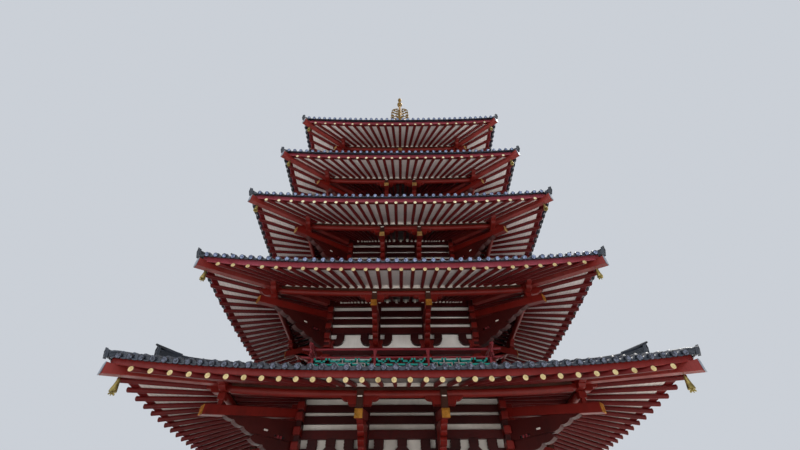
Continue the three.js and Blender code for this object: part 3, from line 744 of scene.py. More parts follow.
floor_finish = Finish("pale floor", Roughness=0.9)
floor_tone = floor_finish.noise(floor_finish.coordinates("object"), 0.05, 2.0)
floor_finish.finish(floor_finish.blend(floor_tone, "d2cfca", "dad8d4"))
FLOOR_HALF = 150.0
floor_mesh = bpy.data.meshes.new("floor")
floor_corners = FLOOR_HALF * np.array([[-1, -1, 0], [1, -1, 0], [1, 1, 0], [-1, 1, 0]])
floor_mesh.from_pydata((floor_corners - [0, 0, 0.002]).tolist(), [], [[0, 1, 2, 3]])
floor_mesh.materials.append(floor_finish.material)
floor = bpy.data.objects.new("floor", floor_mesh)
bpy.context.scene.collection.objects.link(floor)
print("lights:", len(bpy.data.lights), "floor:", 2 * FLOOR_HALF, "m wide")

# %% [markdown]
# ## Finishes for what stays from the frame
# Walls, timber frame, doors, steps and the heart pillar have their true shape already. They only need a finish.

# %% Repaint the solids that stay
KEPT = {"podium_steps": GRANITE, "door": DOOR_RED, "heart_pillar": CYPRESS}
for s in storeys:
    KEPT[f"storey_{s.number}_walls"] = PLASTER if s.number == 1 else LIT_UPPER_PLASTER
    KEPT[f"storey_{s.number}_timber_frame"] = FRAME_RED
for name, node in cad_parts.items():
    for start, finish in KEPT.items():
        if name.startswith(start):
            for material_slot in node.material_slots:
                material_slot.material = finish
print("finishes given to", len(KEPT), "kinds of node")

# %% [markdown]
# ## Rafters
# Over the purlin the rafters lie almost square to the wall, and from there they open like a fan towards the
# corner. A real carpenter sets them out by a rule, and so does this: even shares t from one corner to the other,
# widened a little by t cubed at the tip and drawn in at the purlin. One round bar is made and stretched to each
# place, with its end cut in the plane of the eave. The ends wear gilt caps, a ring round a small boss.

# %% Rafters and their gilt caps
def rafter_lines(s):
    """Tips (n, 3) and inner ends (n, 3) on the +X side. Tip: reach times (t + fan t^3) / (1 + fan). At the purlin
    the middle rafters stand as far apart as at the tips, the others closer, down to the line from the centre; and
    the line through tip and purlin runs on to the wall."""
    t = np.linspace(-1, 1, s.rafters)
    share, unit_width = np.abs(t), s.eave * s.reach / (1 + s.fan)
    tip = unit_width * (t + s.fan * t ** 3)
    gathered = np.minimum(share, s.straight + s.gather * (share - s.straight))
    crossing = np.maximum(unit_width * gathered, 0.98 * s.purlin / s.eave * np.abs(tip)) * np.sign(t)
    inner_out = s.half + EAVE_INNER
    inner = crossing - (tip - crossing) * (s.purlin - inner_out) / (s.eave - s.purlin)
    tip_z = rafter_z(s, s.eave) + corner_lift(s, s.eave) * np.abs(tip / s.eave) ** LIFT_POWER
    tips = np.column_stack([np.full_like(t, s.eave), tip, tip_z])
    inners = np.column_stack([np.full_like(t, inner_out), inner, np.full_like(t, rafter_z(s, inner_out))])
    return tips, inners


CAP = turned([[0.072, -0.004], [0.075, 0.003], [0.063, 0.010], [0.026, 0.004], [0.018, 0.011]], 12)
BAR = skin(np.stack([np.pad(circle(1, 14), ((0, 0), (0, 1)), constant_values=z) for z in (0, 1)]))

for s in storeys:
    tips, inners = rafter_lines(s)
    way = tips - inners
    cut = facing([[1, 0, -0.07]])[0]
    across = np.outer(s.rafter * np.hypot(way[:, 0], way[:, 1]) / way[:, 0], cut[:, 0])
    upright = np.broadcast_to(1.15 * RAFTER_RADIUS * cut[:, 1], way.shape)
    bars = copies(BAR, np.stack([across, upright, way], -1), inners)
    piece(f"rafters_{s.number}", on_four_sides(bars), RAFTER_RED)
    caps = copies(CAP, cut, tips + [0, 0, 0.01])
    piece(f"rafter_caps_{s.number}", on_four_sides(caps), CAP_GILT if s.number < 3 else LIT_CAP)

# %% [markdown]
# ## Eaves
# Whitewashed boards lie on the rafters, and a red fascia closes their edge. Both are a flat section carried round
# the square with many steps, so the sweep of the corner is a true curve. A white board closes the gaps between
# the rafters over the purlin, and small white blocks stand between them at the wall.

# %% Boards, fascia and the blocks between the rafters
EAVE_STEPS = 32
FASCIA_LOW = 0.088
FASCIA_HIGH = 0.275
SHEET_BREAK = 0.05
BLOCK_ROW = 0.10

for s in storeys:
    inner, front = s.half + EAVE_INNER, s.eave - FASCIA_FRONT
    def sheet(start, end, low, high):
        return square_ring([[out, float(rafter_z(s, out)) + up, float(corner_lift(s, out))]
                            for out, up in ((start, low), (end, low), (end, high), (start, high))], EAVE_STEPS)

    seam = s.purlin - SHEET_BREAK
    piece(f"eave_boards_{s.number}", sheet(seam, front - 0.02, BOARD_LOW, BOARD_HIGH),
          SHADED_EAVE_BOARDS if s.number == 1 else LIT_UPPER_BOARDS, [f"eaves_{s.number}"])
    piece(f"inner_boards_{s.number}", sheet(inner, seam, BOARD_LOW, BOARD_HIGH), SHADED_BOARDS)
    low, high = s.eave_z + FASCIA_LOW, s.eave_z + FASCIA_HIGH + s.rise
    fascia = band(s, s.eave - FASCIA_BACK, front, low, high, EAVE_STEPS, lifted=True)
    piece(f"fascia_{s.number}", fascia, FASCIA_RED if s.number == 1 else SHEEN_FASCIA)
    # A thin dark red board under the front of the boards: painted shade under the fascia.
    piece(f"edge_boards_{s.number}", sheet(front - 0.20, front - 0.03, 0.062, 0.078), RAFTER_RED)
    tips, inners = rafter_lines(s)
    over_purlin, wall_z = s.purlin + BLOCK_ROW, float(rafter_z(s, inner))
    share = (s.eave - over_purlin) / (s.eave - inner)
    last = float(tips[-1, 1] + (inners[-1, 1] - tips[-1, 1]) * share)
    y = np.linspace(-last, last, 25)
    low = s.purlin_z + BLOCK_ROW
    tall = float(rafter_z(s, over_purlin)) + BOARD_LOW + 0.01 - low
    section = np.array([[-0.02, 0], [0.02, 0], [0.02, tall], [-0.02, tall]])
    bow = float(corner_lift(s, over_purlin)) * np.abs(y / over_purlin) ** LIFT_POWER
    blocks = on_four_sides(carried(section, np.column_stack([np.full_like(y, over_purlin), y, low + bow])))
    seats = np.sort(np.unique(np.round(np.concatenate([inners[:, 1], -inners[:, 1]]), 3)))
    room = float(np.median(np.diff(seats))) * 0.28
    wall_block = slat([inner - 0.06, -room, wall_z - 0.085], [inner + 0.02, room, wall_z + 0.07])
    wall_blocks = on_four_sides(at(wall_block, [[0, y, 0] for y in (seats[1:] + seats[:-1]) / 2]))
    piece(f"rafter_blocks_{s.number}", joined([blocks, wall_blocks]), RAFTER_STOP)

# %% [markdown]
# ## Purlins and bracket arms
# The eave rests on a round purlin, and the purlin on tail beams that reach out from every inner column and
# every corner. Under each beam, arms cut to cloud curves step outwards, and a boat-shaped arm spreads the load
# along the purlin. At a corner two such arms cross, and the diagonal bracket has a slot with two pegs. An arm
# is a board cut to an outline: a list of a few points, with an arc between those that are joined by a curve.
# Each beam ends in a square gilt plate.

# %% Outlines with arcs
def arc(start, end, bulge, steps=4):
    """Points from start to end on a parabola that leaves the straight line by the bulge in its middle, to the
    right of the way for a positive bulge. The end point itself is left to the next arc."""
    start, end = np.asarray(start, float), np.asarray(end, float)
    t = np.linspace(0, 1, steps + 1)[:-1, None]
    way = end - start
    aside = np.array([way[1], -way[0]]) / np.hypot(*way)
    return start + t * way + 4 * bulge * t * (1 - t) * aside


def outline(*corners):
    """Corners (out, up, bulge): each is joined to the next by an arc with its bulge, or by a line where it is
    0."""
    rows = []
    for (x, z, bulge), following in zip(corners, corners[1:] + corners[:1]):
        rows.append(arc((x, z), following[:2], bulge) if bulge else np.array([[x, z]]))
    return np.concatenate(rows)


TAIL_SLOPE = 0.268
TAIL_LOW = -0.19
TAIL_HIGH = 0.105
STRAIGHT_DROP = 0.12


def under_tail(end, out, drop):
    """Lower edge of a tail beam: its height at the end plus the slope times the way back from there."""
    return TAIL_LOW - drop + TAIL_SLOPE * (end - out)


def lower_arm(root, drop):
    """The first tier: an arm that steps out from the head beam in three scoops. All bracket outlines are
    (distance beyond the column line, height over the rafter ends)."""
    d = drop / 2
    return outline(
        (root, HEAD_HIGH, 0), (0.36, HEAD_HIGH, 0.03), (0.62, -0.80, 0), (0.63, -0.75 - d / 2, 0.05),
        (0.93, -0.67 - d, 0), (0.95, -0.62 - d, 0.055), (1.27, -0.52 - d, 0.02), (1.20, -0.385 - d, 0),
        (root, -0.385 - d, 0),
    )


def upper_arm(root, drop, end):
    """The second tier, with three more scoops. A gap that widens towards the wall parts it from the tail beam."""
    high = lambda out: under_tail(end, out, drop) - 0.012 - 0.11 * max(0, 1.27 - out)
    return outline(
        (root, -0.37 - drop / 2, 0), (1.18, -0.37 - drop / 2, 0.05), (1.48, -0.28 - drop, 0),
        (1.49, -0.24 - drop, 0.045), (1.74, -0.15 - drop, 0), (1.75, -0.12 - drop, 0.035),
        (1.98, -0.055 - drop * 0.9, 0), (1.98, high(1.98), 0), (1.27, high(1.27), 0), (root, high(root), 0),
    )


def tail_beam(root, drop, end):
    """The sloping beam: parallel edges, cut off upright behind the gilt plate."""
    low, thick = under_tail(end, root, drop), TAIL_HIGH - TAIL_LOW
    return np.array([[root, low], [end, TAIL_LOW - drop], [end + 0.012, TAIL_HIGH - drop], [root, low + thick]])


def boat_arm(length, height, thick):
    """An arm shaped like a boat: level on top, with two curved steps up at each end."""
    l, h = length / 2, height
    right = [(0.0, 0.0, 0), (0.56 * l, 0.0, 0.02), (0.62 * l, 0.42 * h, 0), (0.67 * l, 0.55 * h, 0.03),
             (l, 0.90 * h, 0), (l, h, 0)]
    rim = outline(*right)
    return plate(np.concatenate([rim, (rim * [-1, 1])[::-1][:-1]]), thick)


CROSSING_THICK = 0.22


def crossing_arm(low):
    """One of two arms that cross under a corner of the purlins, with two curved steps up at its end."""
    return plate(outline(
        (-0.10, low, 0), (0.16, low, 0.03), (0.34, low / 2 - 0.02, 0), (0.34, low / 2 + 0.01, 0.03),
        (0.57, -0.01, 0), (0.57, 0.04, 0), (-0.10, 0.04, 0)), CROSSING_THICK)


ALONG = turn(90)
BOAT_HEIGHT = 0.25
print("a first arm has", len(lower_arm(0.0, 0.0)), "points in its outline")

# %% Gilt plates on the beam ends
def gilt_plate(width, height):
    """A square plate with a raised border, a cross of bars and small squares in the corners, facing +X."""
    w, h, bar = width / 2, height / 2, 0.012
    bars = [(y, 0, bar / 2, h - 0.006, 0.022) for y in (-w + bar, -w / 3, w / 3, w - bar)]
    bars += [(0, z, w - 0.006, bar / 2, 0.020) for z in (-h + bar, -h / 3, h / 3, h - bar)]
    bars += [(0.62 * w * y, 0.62 * h * z, 0.018, 0.018, 0.026) for y in (-1, 0, 1) for z in (-1, 0, 1)]
    return joined([timber([0, -w, -h], [0.014, w, h], 0.004)] + [
        slat([0.01, y - wide, z - tall], [proud, y + wide, z + tall]) for y, z, wide, tall, proud in bars])


PLATE_WIDTH = 0.25
PLATE = gilt_plate(PLATE_WIDTH, TAIL_HIGH - TAIL_LOW - 0.02)
print("gilt plate:", len(PLATE.faces), "faces")

# %% Brackets of every storey
SLOT = [[0.42, -0.35], [0.70, -0.345], [0.70, -0.264], [0.42, -0.262]]
PEG_PLACES = [0.52, 0.60]
PEG_HIGH = -0.306
WEDGE_PLACE = 0.945
WEDGE_HIGH = -0.19
ARM_THICK = 0.21
TAIL_THICK = 0.235
CORNER_THICK = 0.25


def both_ways(shape):
    """The shape and its mirror image across the corner's diagonal."""
    return joined([shape, Shape(shape.points[:, [1, 0, 2]], shape.faces, shape.places)])


def bracket(s, root, drop, thick, stretch, end, slots=()):
    """Both arms and, a little thinner, the board between them, standing on the column line."""
    place = [s.half, s.eave_z]
    slots = [(np.array(slot) + place) * [stretch, 1] for slot in slots]
    seam = np.array([[root, -0.5], [1.12, -0.48 - drop / 2], [1.12, -0.28 - drop / 2], [root, -0.2]])
    parts = [plate((lower_arm(root, drop) + place) * [stretch, 1], thick),
             plate((upper_arm(root, drop, end) + place) * [stretch, 1], thick, slots),
             plate((seam + place) * [stretch, 1], thick * 0.7, slots)]
    return joined(parts)


for s in storeys:
    e = s.eave_z
    straight = on_four_sides(at(bracket(s, 0.07, STRAIGHT_DROP, ARM_THICK, 1, s.tail), s.line_places))
    corner = on_corners(bracket(s, 0.13, 0, CORNER_THICK, DIAGONAL, s.corner_tail, [SLOT]))
    pegs = joined([centred([(s.half + out) * DIAGONAL, 0, e + PEG_HIGH], [0.02, 0.14, 0.05]) for out in PEG_PLACES])
    wedge = centred([(s.half + WEDGE_PLACE) * DIAGONAL, 0, e + WEDGE_HIGH], [0.055 * DIAGONAL, 0.135, 0.03])
    piece(f"slot_pegs_{s.number}", on_corners(pegs), RAIL_RED)
    piece(f"wedge_ends_{s.number}", on_corners(wedge), WHITE_BLOCK)
    piece(f"bracket_arms_{s.number}", straight, VERMILION, [f"storey_{s.number}_brackets"],
          bevel=0.012)
    piece(f"corner_arms_{s.number}", corner, CORNER_RED, bevel=0.012)

# %% Tail beams and their plates
for s in storeys:
    place = [s.half, s.eave_z]
    tail = plate(tail_beam(0.07, STRAIGHT_DROP, s.tail) + place, TAIL_THICK)
    corner_tail = plate((tail_beam(0.1, 0, s.corner_tail) + place) * [DIAGONAL, 1], TAIL_THICK + 0.02)
    tails = joined([on_four_sides(at(tail, s.line_places)), on_corners(corner_tail)])
    piece(f"tail_beams_{s.number}", tails, VERMILION, bevel=0.01)
    end, middle = s.half + 0.006, s.eave_z + (TAIL_LOW + TAIL_HIGH) / 2
    straight_plates = on_four_sides(at(PLATE, [[end + s.tail, y, middle - STRAIGHT_DROP] for y in s.lines]))
    corner_plates = on_corners(at(PLATE, [[(end + s.corner_tail) * DIAGONAL, 0, middle]]))
    plates = joined([straight_plates, corner_plates])
    piece(f"gilt_plates_{s.number}", plates, PLATE_GILT if s.number < 3 else LIT_PLATE)

# %% Arms and blocks under the purlins
for s in storeys:
    boat_z = s.purlin_z - PURLIN_RADIUS + 0.03 - BOAT_HEIGHT
    boats = at(copies(boat_arm(1.20, BOAT_HEIGHT, 0.2), ALONG), [[s.purlin, y, boat_z] for y in s.lines])
    aside, ahead, high = s.purlin + s.arm_out, s.purlin + s.arm_shift, s.corner_purlin_z + 0.11
    crossing = crossing_arm(-0.22 if s.number == 1 else -0.30)
    crossing = copies(crossing, np.stack([ALONG, np.eye(3)]), [[aside, ahead, high], [ahead, aside, high]])
    purlin_arms = on_four_sides(joined([boats, crossing]))
    piece(f"purlin_arms_{s.number}", purlin_arms, VERMILION, bevel=0.008)

    level, middle = s.corner_purlin_z, s.purlin - 0.10
    block = centred([middle, middle, level - 0.23], [0.12, 0.12, 0.11], 0.014)
    near, far = middle - 0.07, middle + 0.07
    post = timber([near, near, s.eave_z + 0.05], [far, far, level + 0.18], 0.014)
    neck = both_ways(centred([s.purlin, s.purlin - 0.245, level], [0.10, 0.195, 0.10], 0.016))
    stand = copies(joined([block, post, neck]), turn(-45))
    piece(f"corner_blocks_{s.number}", on_corners(stand), VERMILION)

# %% Purlins
CUSHION = [[-0.08, -0.06], [0.08, -0.06], [0.08, 0.045], [-0.08, 0.045]]

for s in storeys:
    y = np.linspace(-1, 1, 21) * (s.purlin - 0.38)
    z = s.purlin_z + (s.corner_purlin_z - s.purlin_z) * np.abs(y / s.purlin) ** LIFT_POWER
    path = np.column_stack([np.full_like(y, s.purlin), y, z])
    piece(f"purlins_{s.number}", on_four_sides(carried(circle(PURLIN_RADIUS, 14), path)), VERMILION)
    cushion = carried(CUSHION, path + [0.045, 0, PURLIN_RADIUS + 0.015])
    piece(f"purlin_cushions_{s.number}", on_four_sides(cushion), STOP_BROWN)
    tail_top = s.eave_z + TAIL_HIGH - STRAIGHT_DROP
    stop = timber([s.purlin - 0.05, -0.105, tail_top - 0.03], [s.purlin + 0.18, 0.105, s.purlin_z + 0.10])
    piece(f"purlin_stops_{s.number}", on_four_sides(at(stop, s.line_places)), STOP_BROWN)
    plug = centred([s.purlin + 0.175, 0, s.eave_z + 0.37], [0.015, 0.08, 0.02])
    piece(f"white_plugs_{s.number}", on_four_sides(at(plug, s.line_places)), WHITE_BLOCK)

# %% [markdown]
# ## The walls between the brackets
# Above the head beam the wall is a ladder of red beams with white plaster between. Over each column sits a
# bearing block with an arm whose lower corners are round, and at the corners the beams run past each other, so
# their square ends stand in a stack that steps outwards as it goes down.

# %% Beams and the stack of their ends at the corners
FIRST_BANDS = [(-0.21, 0.075), (0.275, 0.545), (0.665, 0.92), (1.15, 1.40)]
UPPER_BANDS = [(-0.245, 0.01), (0.255, 0.525), (0.645, 0.935), (1.15, 1.40)]
BEAM_PROUD = 0.05
ROOF_CUT = 0.01
STACKS = [  # name, end beyond the column line, half width, chamfer, heights over the rafter tips, finish
    ("beam_ends", 0.42, 0.12, 0.016, [(-0.615, -0.365), (-0.15, 0.10), (0.32, 0.575), (0.68, 0.93)], VERMILION),
    ("beam_end_blocks", 0.28, 0.10, 0.012, [(-0.94, -0.61), (-0.37, -0.14), (0.09, 0.33), (0.57, 0.69)], BEAM_RED),
]

for s in storeys:
    e = s.eave_z
    inner, outer = s.half - WALL_OUT - 0.01, s.half + BEAM_PROUD + 0.002
    bands = FIRST_BANDS if s.number == 1 else UPPER_BANDS
    beams = [band(s, inner, outer, e + low, min(e + high, s.top - ROOF_CUT), edge=0.014)
             for low, high in bands if e + high - 0.1 < s.top]
    piece(f"wall_beams_{s.number}", joined(beams), BEAM_RED)
    for name, far, side, edge, heights, finish in STACKS:
        y = s.half + 0.01
        stack = [timber([s.half - 0.10, y - side, e + low], [s.half + far, y + side, e + high], edge)
                 for low, high in heights]
        piece(f"{name}_{s.number}", on_four_sides(both_ways(joined(stack))), finish)

# %% Wall arms, their blocks and the struts
def cloud_block(width, low, high, lobes=3, swell=0.018):
    """A block seen from the front whose sides swell in lobes, as (along, up) points."""
    t = np.linspace(0, 1, 4 * lobes + 1)
    side = width / 2 + swell * np.abs(np.sin(t * lobes * np.pi))
    right = np.column_stack([side, low + t * (high - low)])
    return np.concatenate([right, (right * [-1, 1])[::-1]])


# Outlines are (along the wall, height over the rafter tips)
BEARING = plate(outline(
    (-0.285, -0.96, 0), (0.285, -0.96, 0), (0.285, -0.86, 0), (0.25, -0.86, -0.03), (0.30, -0.72, 0),
    (0.30, -0.62, 0), (-0.30, -0.62, 0), (-0.30, -0.72, -0.03), (-0.25, -0.86, 0), (-0.285, -0.86, 0)), 0.34)
WALL_ARM = plate(outline(
    (-0.30, -0.765, 0), (0.30, -0.765, 0.08), (0.655, -0.60, 0), (0.655, -0.515, 0), (-0.655, -0.515, 0),
    (-0.655, -0.60, 0.08)), 0.19)
HALF_ARM = plate(outline(
    (0.0, -0.765, 0), (0.30, -0.765, 0.08), (0.655, -0.60, 0), (0.655, -0.515, 0), (0.0, -0.515, 0)), 0.19)
STRUT_LEGS = plate(outline(
    (-0.46, -0.95, 0), (-0.26, -0.95, -0.05), (0.0, -0.60, -0.05), (0.26, -0.95, 0), (0.46, -0.95, 0.04),
    (0.155, -0.46, 0), (0.155, -0.42, 0), (-0.155, -0.42, 0), (-0.155, -0.46, 0.04)), 0.14)
ARM_BLOCK = plate(cloud_block(0.31, -0.53, -0.23), 0.17)
BLOCK_OUT = 0.52
WHOLE = joined([WALL_ARM, plate(cloud_block(0.30, -0.2, 1.16, lobes=7), 0.16),
                at(ARM_BLOCK, [[y, 0, 0] for y in (0, -BLOCK_OUT, BLOCK_OUT)])])
HALF = joined([HALF_ARM, at(ARM_BLOCK, [[BLOCK_OUT, 0, 0]])])
OTHER_HALF = Shape(HALF.points * [-1, 1, 1], HALF.faces, HALF.places)
STRUT = joined([STRUT_LEGS, plate(cloud_block(0.31, -0.43, -0.20), 0.17)])

for s in storeys:
    columns = [-s.half, *s.lines, s.half]
    place = lambda along, out=0.02: [[s.half + out, y, s.eave_z] for y in along]
    bearings = copies(BEARING, ALONG, place(columns))
    piece(f"bearing_blocks_{s.number}", on_four_sides(bearings), VERMILION, bevel=0.01)
    arms = [copies(WHOLE, ALONG, place(s.lines)), copies(HALF, ALONG, place([-s.half])),
            copies(OTHER_HALF, ALONG, place([s.half]))]
    if s.number == 1:
        bays = [(a + b) / 2 for a, b in zip(columns, columns[1:])]
        arms.append(copies(STRUT, ALONG, place(bays, 0.01)))
    piece(f"wall_arms_{s.number}", on_four_sides(joined(arms)), BEAM_RED, bevel=0.008)

# %% [markdown]
# ## Columns
# The frame holds its columns as plain posts with few sides. A slim round shell round each one, fuller at the
# middle than at its ends, gives them the swell of a real column.

# %% Round columns
COLUMN_RADIUS = 0.21

for s in storeys:
    low, high = s.base + 0.001, s.eave_z + HEAD_LOW + 0.02
    t = np.linspace(0, 1, 7)
    radius = COLUMN_RADIUS + 0.006 + 0.022 * np.sin(np.pi * (0.15 + 0.7 * t))
    column = turned(np.column_stack([radius, low + t * (high - low)]), 18)
    piece(f"columns_{s.number}", on_four_sides(at(column, [[s.half, y, 0] for y in [-s.half, *s.lines]])),
          VERMILION)

# %% [markdown]
# ## Hip rafters and bells
# A stout hip rafter runs out under each corner. Its end is capped with pale metal against the rain, and a
# wind bell hangs below it. The rafter is a board cut to its side view, following the boards above it.

# %% Hip rafters
HIP_WIDTH = 0.24
HIP_TIP_DROP = 0.235
HIP_TIP_HIGH = 0.31


def hip_lines(s):
    """Tip, seat on the purlin and upper edge of a hip rafter, as distances out from the axis and heights."""
    tip_out, tip_low = s.eave + 0.035 + s.hip, s.eave_z + float(corner_lift(s, s.eave)) - HIP_TIP_DROP
    seat_out = s.purlin + PURLIN_RADIUS / 2
    seat_low = s.corner_purlin_z + PURLIN_RADIUS * 0.87
    return tip_out, tip_low, seat_out, seat_low


for s in storeys:
    tip_out, tip_low, seat_out, seat_low = hip_lines(s)
    inner, edge, high = s.half + EAVE_INNER, s.eave - FASCIA_BACK, HIP_TIP_HIGH + 0.9 * s.hip
    boards = lambda out: float(rafter_z(s, out) + BOARD_LOW + corner_lift(s, out))
    side = np.array([
        [inner, boards(inner) - 0.30], [seat_out - 0.02, seat_low - 0.02], [tip_out, tip_low],
        [tip_out + 0.02, tip_low + high], [edge, tip_low + high], [edge, boards(edge) + 0.01],
        [inner, boards(inner) + 0.01],
    ])
    hip = plate(side * [DIAGONAL, 1], HIP_WIDTH)
    piece(f"hip_rafters_{s.number}", on_corners(hip), HIP_RED, [f"corner_rafters_{s.number}"],
          bevel=0.012)
    cap_x = (tip_out + 0.01) * DIAGONAL
    metal = timber([cap_x - 0.006, -HIP_WIDTH / 2 - 0.004, tip_low - 0.003],
                   [cap_x + 0.022, HIP_WIDTH / 2 + 0.004, tip_low + high + 0.003], 0.006)
    piece(f"hip_caps_{s.number}", on_corners(metal), CAP_METAL)

# %% Wind bells
BELL_IN = 0.31
BELL_PROFILE = [
    [0.016, -0.075], [0.030, -0.08], [0.044, -0.095], [0.050, -0.13], [0.058, -0.20], [0.072, -0.28],
    [0.088, -0.35], [0.095, -0.395], [0.091, -0.42], [0.084, -0.425], [0.080, -0.40], [0.066, -0.30],
    [0.050, -0.20], [0.036, -0.11],
]
CLAPPER = outline((-0.012, 0.06, 0), (-0.016, -0.01, 0.01), (-0.075, -0.035, 0.02), (-0.05, -0.075, -0.015),
                  (0.0, -0.06, -0.015), (0.05, -0.075, 0.02), (0.075, -0.035, 0.01), (0.016, -0.01, 0),
                  (0.012, 0.06, 0))

for s in storeys:
    tip_out, tip_low, seat_out, seat_low = hip_lines(s)
    out = s.eave - (BELL_IN if s.number == 1 else 0.7 * BELL_IN)
    under = tip_low + (seat_low - tip_low) * (tip_out - out) / (tip_out - seat_out)
    bell = joined([
        turned(BELL_PROFILE, 20), turned([[0.008, -0.08], [0.008, 0.02]], 8),
        turned([[0.03, 0.005], [0.034, 0.0], [0.034, 0.03], [0.03, 0.035]], 12),
        turned([[0.082, -0.40], [0.098, -0.405], [0.098, -0.43], [0.082, -0.435]], 20),
    ])
    blade = plate(CLAPPER, 0.02)
    clapper = joined([turned([[0.005, -0.42], [0.005, -0.12]], 6), at(blade, [[0, 0, -0.44]]),
                      copies(blade, ALONG, [[0, 0, -0.44]])])
    piece(f"bell_clappers_{s.number}", on_corners(at(clapper, [[out * DIAGONAL, 0, under]])), BELL_GILT)
    piece(f"wind_bells_{s.number}", on_corners(at(bell, [[out * DIAGONAL, 0, under]])), BELL_GILT)

# %% [markdown]
# ## Tiled roofs
# Rows of half-round cover tiles run down the slope over hollow pan tiles, and every tile overlaps the one below
# it. The whole roof is one closed surface: the columns of the grid follow the ribs and hollows, its rows are the
# courses, and the rows underneath close it. Clay packed under the first courses raises them over the fascia.
# Columns that would pass the hip are held on it, and the faces that shrink to nothing there are dropped once
# equal points are joined.

# %% Slope, ribs and courses
RIB_RADIUS = 0.085
LAP = 0.022
PAN_DEPTH = 0.025
PACKING = 0.065
PACKING_START = 0.045
PACKING_END = 1.5
TILE_HIGH = 0.385
DISC_SEAT = 0.085
RIB_COLUMNS = np.array([-0.084, -0.052, 0.0, 0.052, 0.084, 0.168])


def roof_limits(s):
    """Edge and crown of the tiled slope, as distances from the axis and heights."""
    above = s.above
    crown = above.rail + 0.085 if above else 0.70
    high = above.base - 0.06 if above else APEX
    return s.eave + s.over - DISC_SEAT, s.eave_z + TILE_HIGH + s.tile_rise, crown, high


def tile_top(s, out):
    """Height of the ribs in mid side: a slope that is steeper towards the crown, on a packing of clay that starts
    just inside the edge and runs out evenly."""
    edge, low, crown, high = roof_limits(s)
    share = (edge - out) / (edge - crown)
    hollow = 0.85 if s.above else 0.62
    start, end = (np.clip((edge - out) / way, 0, 1) for way in (PACKING_START, PACKING_END))
    return low + (high - low) * (hollow * share + (1 - hollow) * share ** 2) + PACKING * start * (1 - end)


def rib_height(y):
    """Over the axis of a rib a half circle, between two ribs a shallow hollow."""
    aside = np.abs((y / RIB_SPACING) % 1 - 0.5) * RIB_SPACING
    rib = np.sqrt(np.maximum(0, RIB_RADIUS ** 2 - aside ** 2))
    pan_share = np.clip((aside - RIB_RADIUS) / (RIB_SPACING / 2 - RIB_RADIUS), 0, 1)
    return np.where(aside < RIB_RADIUS, rib, -PAN_DEPTH * np.sin(pan_share * np.pi / 2))


def roof_rows(s):
    """Rows of the closed profile: distance out, height in mid side, lift, and the share of rib relief."""
    edge, low, crown, high = roof_limits(s)
    above = s.above
    courses = int(round((edge - crown) / (COURSE * 0.92)))
    bounds = np.concatenate([[edge], np.linspace(edge - PACKING_START, crown, courses + 1)])
    out = np.repeat(bounds, 2)[1:-1]
    out[1:-1:2] += 0.001
    out[2:-1:2] -= 0.001
    lap = np.tile([0.0, -LAP], courses + 1)
    lap[1] = lap[2] = 0
    top = np.column_stack([out, tile_top(s, out) - RIB_RADIUS + lap, corner_lift(s, out), np.ones_like(out)])
    fascia_top, tile_base = s.eave_z + s.rise + FASCIA_HIGH, low - RIB_RADIUS
    under = [[s.eave - 0.12, fascia_top + 0.002], [s.eave + 0.035, fascia_top - 0.007],
             [edge - 0.01, tile_base - 0.045]]
    inner = above.half - 0.32 if above else 0.32
    closing = [[crown, high - 0.10], [inner, high - 0.10], [inner, s.top + 0.002], [s.half + 0.28, s.top + 0.002]]
    flat = lambda rows, lifted: np.array([[x, z, corner_lift(s, x) if lifted else 0.0, 0.0] for x, z in rows])
    return np.concatenate([flat(under, True), top, flat(closing, False)])


print("height of a rib and depth of a pan:", rib_height(np.array([RIB_SPACING / 2, 0.0])).round(3).tolist())

# %% The tiled surface
def welded(shape):
    """Points at the same place, to a tenth of a millimetre, become one."""
    _, first, index = np.unique(np.round(shape.points, 4), axis=0, return_index=True, return_inverse=True)
    return Shape(shape.points[first], index.reshape(-1)[shape.faces], shape.places)


def tiled_roof(s):
    """Every row meets every column y of a side; where the row is shorter, the column is held at the hip."""
    rows = roof_rows(s)
    ribs = int(rows[:, 0].max() / RIB_SPACING) + 1
    middles = (np.arange(-ribs, ribs) + 0.5) * RIB_SPACING
    columns = (middles[:, None] + RIB_COLUMNS).ravel()
    out, height, lift, relief = rows.T[..., None]
    y = np.clip(columns, -out, out)
    z = height + lift * np.abs(y / out) ** LIFT_POWER + relief * rib_height(y)
    side = np.stack([np.broadcast_to(out, y.shape), y, z], -1)
    rings = np.concatenate(np.einsum("kij,rcj->krci", QUARTERS, side), axis=1)
    roof = skin(rings, loop=True)
    slope = np.concatenate([[0], np.cumsum(np.hypot(np.diff(rows[:, 0]), np.diff(rows[:, 1])))])
    row = np.minimum(roof.faces // rings.shape[1], len(slope) - 1)
    column = roof.faces % len(columns)
    roof.places = np.stack([columns[column] + RIB_SPACING / 4, slope[row] - slope[3]], -1)
    return welded(roof)


for s in storeys:
    piece(f"tiled_roof_{s.number}", tiled_roof(s), ROOF_TILE, [f"roof_tiles_{s.number}"], angle=50)

# %% [markdown]
# ### The eave's edge
# Each cover tile ends in a round disc with a boss inside a rim, square to the slope of the roof, and each pan tile
# in a curved lip that hangs between two discs. They are small turned or cut shapes, copied along the curve of the
# edge. The rim takes a darker colour than the disc: painted shade.

# %% Round tile ends and pan lips
DISC = turned([[RIB_RADIUS - 0.009, 0.0], [RIB_RADIUS - 0.011, 0.013], [0.036, 0.009], [0.024, 0.019]], 12)
DISC_RIM = turned([[RIB_RADIUS, -0.09], [RIB_RADIUS + 0.004, 0.012], [RIB_RADIUS - 0.004, 0.020],
                   [RIB_RADIUS - 0.010, 0.006]], 12)


